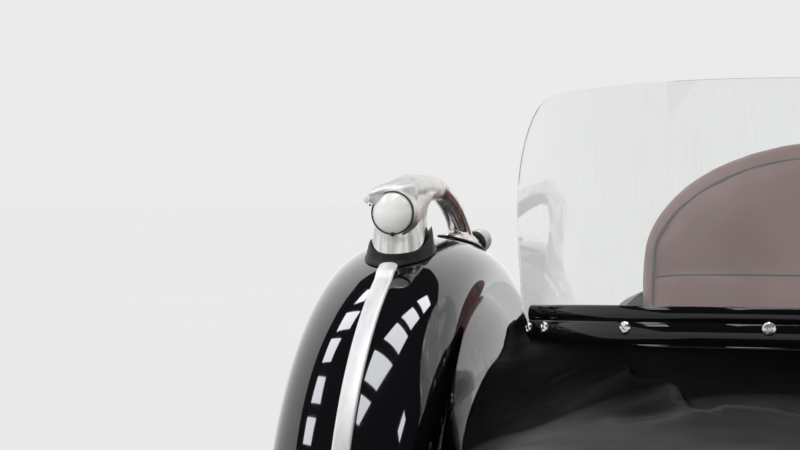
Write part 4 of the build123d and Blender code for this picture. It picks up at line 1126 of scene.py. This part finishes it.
CEILING = (
    (-2.35, 2.34), (-1.89, 2.78), (-0.37, 2.72), (0.02, 2.5), (0.57, 2.25), (1.32, 1.6), (2.01, 1.13),
    (2.65, 0.7), (7.0, -2.4), (9.0, -14.0), (-16.0, -14.0), (-6.42, -2.37), (-4.22, -0.19), (-3.09, 0.95),
    (-2.44, 1.97),
)
SKYLIGHTS = (  # the corners of each pane of the roof lights, row by row
    ((-2.04, 1.05), (-1.78, 1.52), (-1.55, 1.52), (-1.7, 1.02)),
    ((-2.25, 0.84), (-1.69, 0.64), (-1.89, 0.13), (-2.52, 0.33)),
    ((-2.76, 0.22), (-2.17, -0.06), (-2.54, -0.64), (-3.15, -0.37)),
    ((-3.35, -0.73), (-2.74, -1.05), (-3.05, -1.85), (-3.91, -1.44)),
    ((-4.31, -1.83), (-3.4, -2.26), (-4.09, -3.29), (-5.1, -2.82)),
    ((0.0, 0.97), (0.32, 1.38), (0.82, 1.23), (0.65, 0.77)),
    ((-0.36, 0.31), (-0.06, 0.72), (0.54, 0.54), (0.33, 0.06)),
    ((-0.75, -0.38), (-0.44, 0.12), (0.31, -0.15), (0.15, -0.72)),
    ((-1.13, -1.52), (-0.98, -0.68), (0.01, -1.05), (-0.49, -1.84)),
    ((-1.27, -2.88), (-1.18, -1.93), (-0.65, -2.2), (-1.13, -2.97)),
    ((1.92, 0.47), (2.28, 0.01), (1.89, -0.22)),
    ((1.88, -1.95), (2.37, -2.11), (2.49, -3.07), (1.87, -2.74)),
)


def make_stage():
    stage_panel("studio_ceiling", [CEILING], 4.05, emitter("ceiling_shade", (0.02, 0.02, 0.022), 1.0))
    stage_panel("studio_roof_lights", SKYLIGHTS, 4.0, emitter("roof_light", (0.93, 0.95, 1.0), 7.0))
    half = 40
    corners = [at(x, y, 0) for x, y in ((-half, -half), (half, -half), (half, half), (-half, half))]
    floor = new_piece("studio_floor", corners, [(0, 1, 2, 3)])
    surface = Finish("studio_floor", (0.781, 0.781, 0.781), 1.0, Specular_IOR_Level=0.0)
    surface.tint(surface.noise(0.4), (0.3, (0.777, 0.777, 0.777)), (0.7, (0.785, 0.785, 0.785)))
    floor.data.materials.append(surface.material)


def make_world():
    """White light from all round, brighter in reflections, and a pale grey that shows behind the object."""
    world = bpy.data.worlds.new("studio")
    bpy.context.scene.world = world
    world.use_nodes = True
    tree = world.node_tree
    tree.nodes.clear()
    rays = wired(tree, "LightPath").outputs
    light, mirrored, backdrop = (
        wired(tree, "Background", Color=(*colour, 1.0), Strength=strength).outputs[0]
        for colour, strength in (((1, 1, 1), 0.66), ((1, 1, 0.99), 1.0), ((0.83, 0.83, 0.825), 1.0)))
    glossy = wired(tree, "MixShader", rays["Is Glossy Ray"], light, mirrored)
    seen = wired(tree, "Math", rays["Is Camera Ray"], rays["Is Transmission Ray"], operation="MAXIMUM")
    final = wired(tree, "MixShader", seen.outputs[0], glossy.outputs[0], backdrop)
    wired(tree, "OutputWorld", final.outputs[0])


def make_light():
    lamp = bpy.data.lights.new("soft_key", "SUN")
    lamp.energy = 1.5
    lamp.angle = radians(40)
    key = linked("soft_key", lamp)
    towards = Vector((0.45, 0.55, -1.0))
    key.rotation_euler = towards.to_track_quat("-Z", "Y").to_euler()
    key.visible_glossy = False


def make_camera():
    lens = bpy.data.cameras.new("photo_camera")
    lens.lens = 90.0
    lens.sensor_width = 36.0
    camera = linked("photo_camera", lens)
    camera.location = Vector((-0.39, -2.5, 0.533))
    heading, down = radians(15.1), radians(1.6)
    forward = Vector((-sin(heading) * cos(down), cos(heading) * cos(down), -sin(down)))
    camera.rotation_euler = forward.to_track_quat("-Z", "Y").to_euler()
    bpy.context.scene.camera = camera


make_camera()
make_world()
make_light()
make_stage()
dress_nodes()
make_mudguard()
make_strips()
make_collars()
make_casting()
make_lamps()
make_windscreen()
make_rail()
make_rail_screws()
make_apron()
make_seat_back()
make_seat_cushion()
make_tyre()
make_nipples()
make_fasteners()
make_cockpit_bead()

bpy.context.scene.view_settings.view_transform = "Standard"
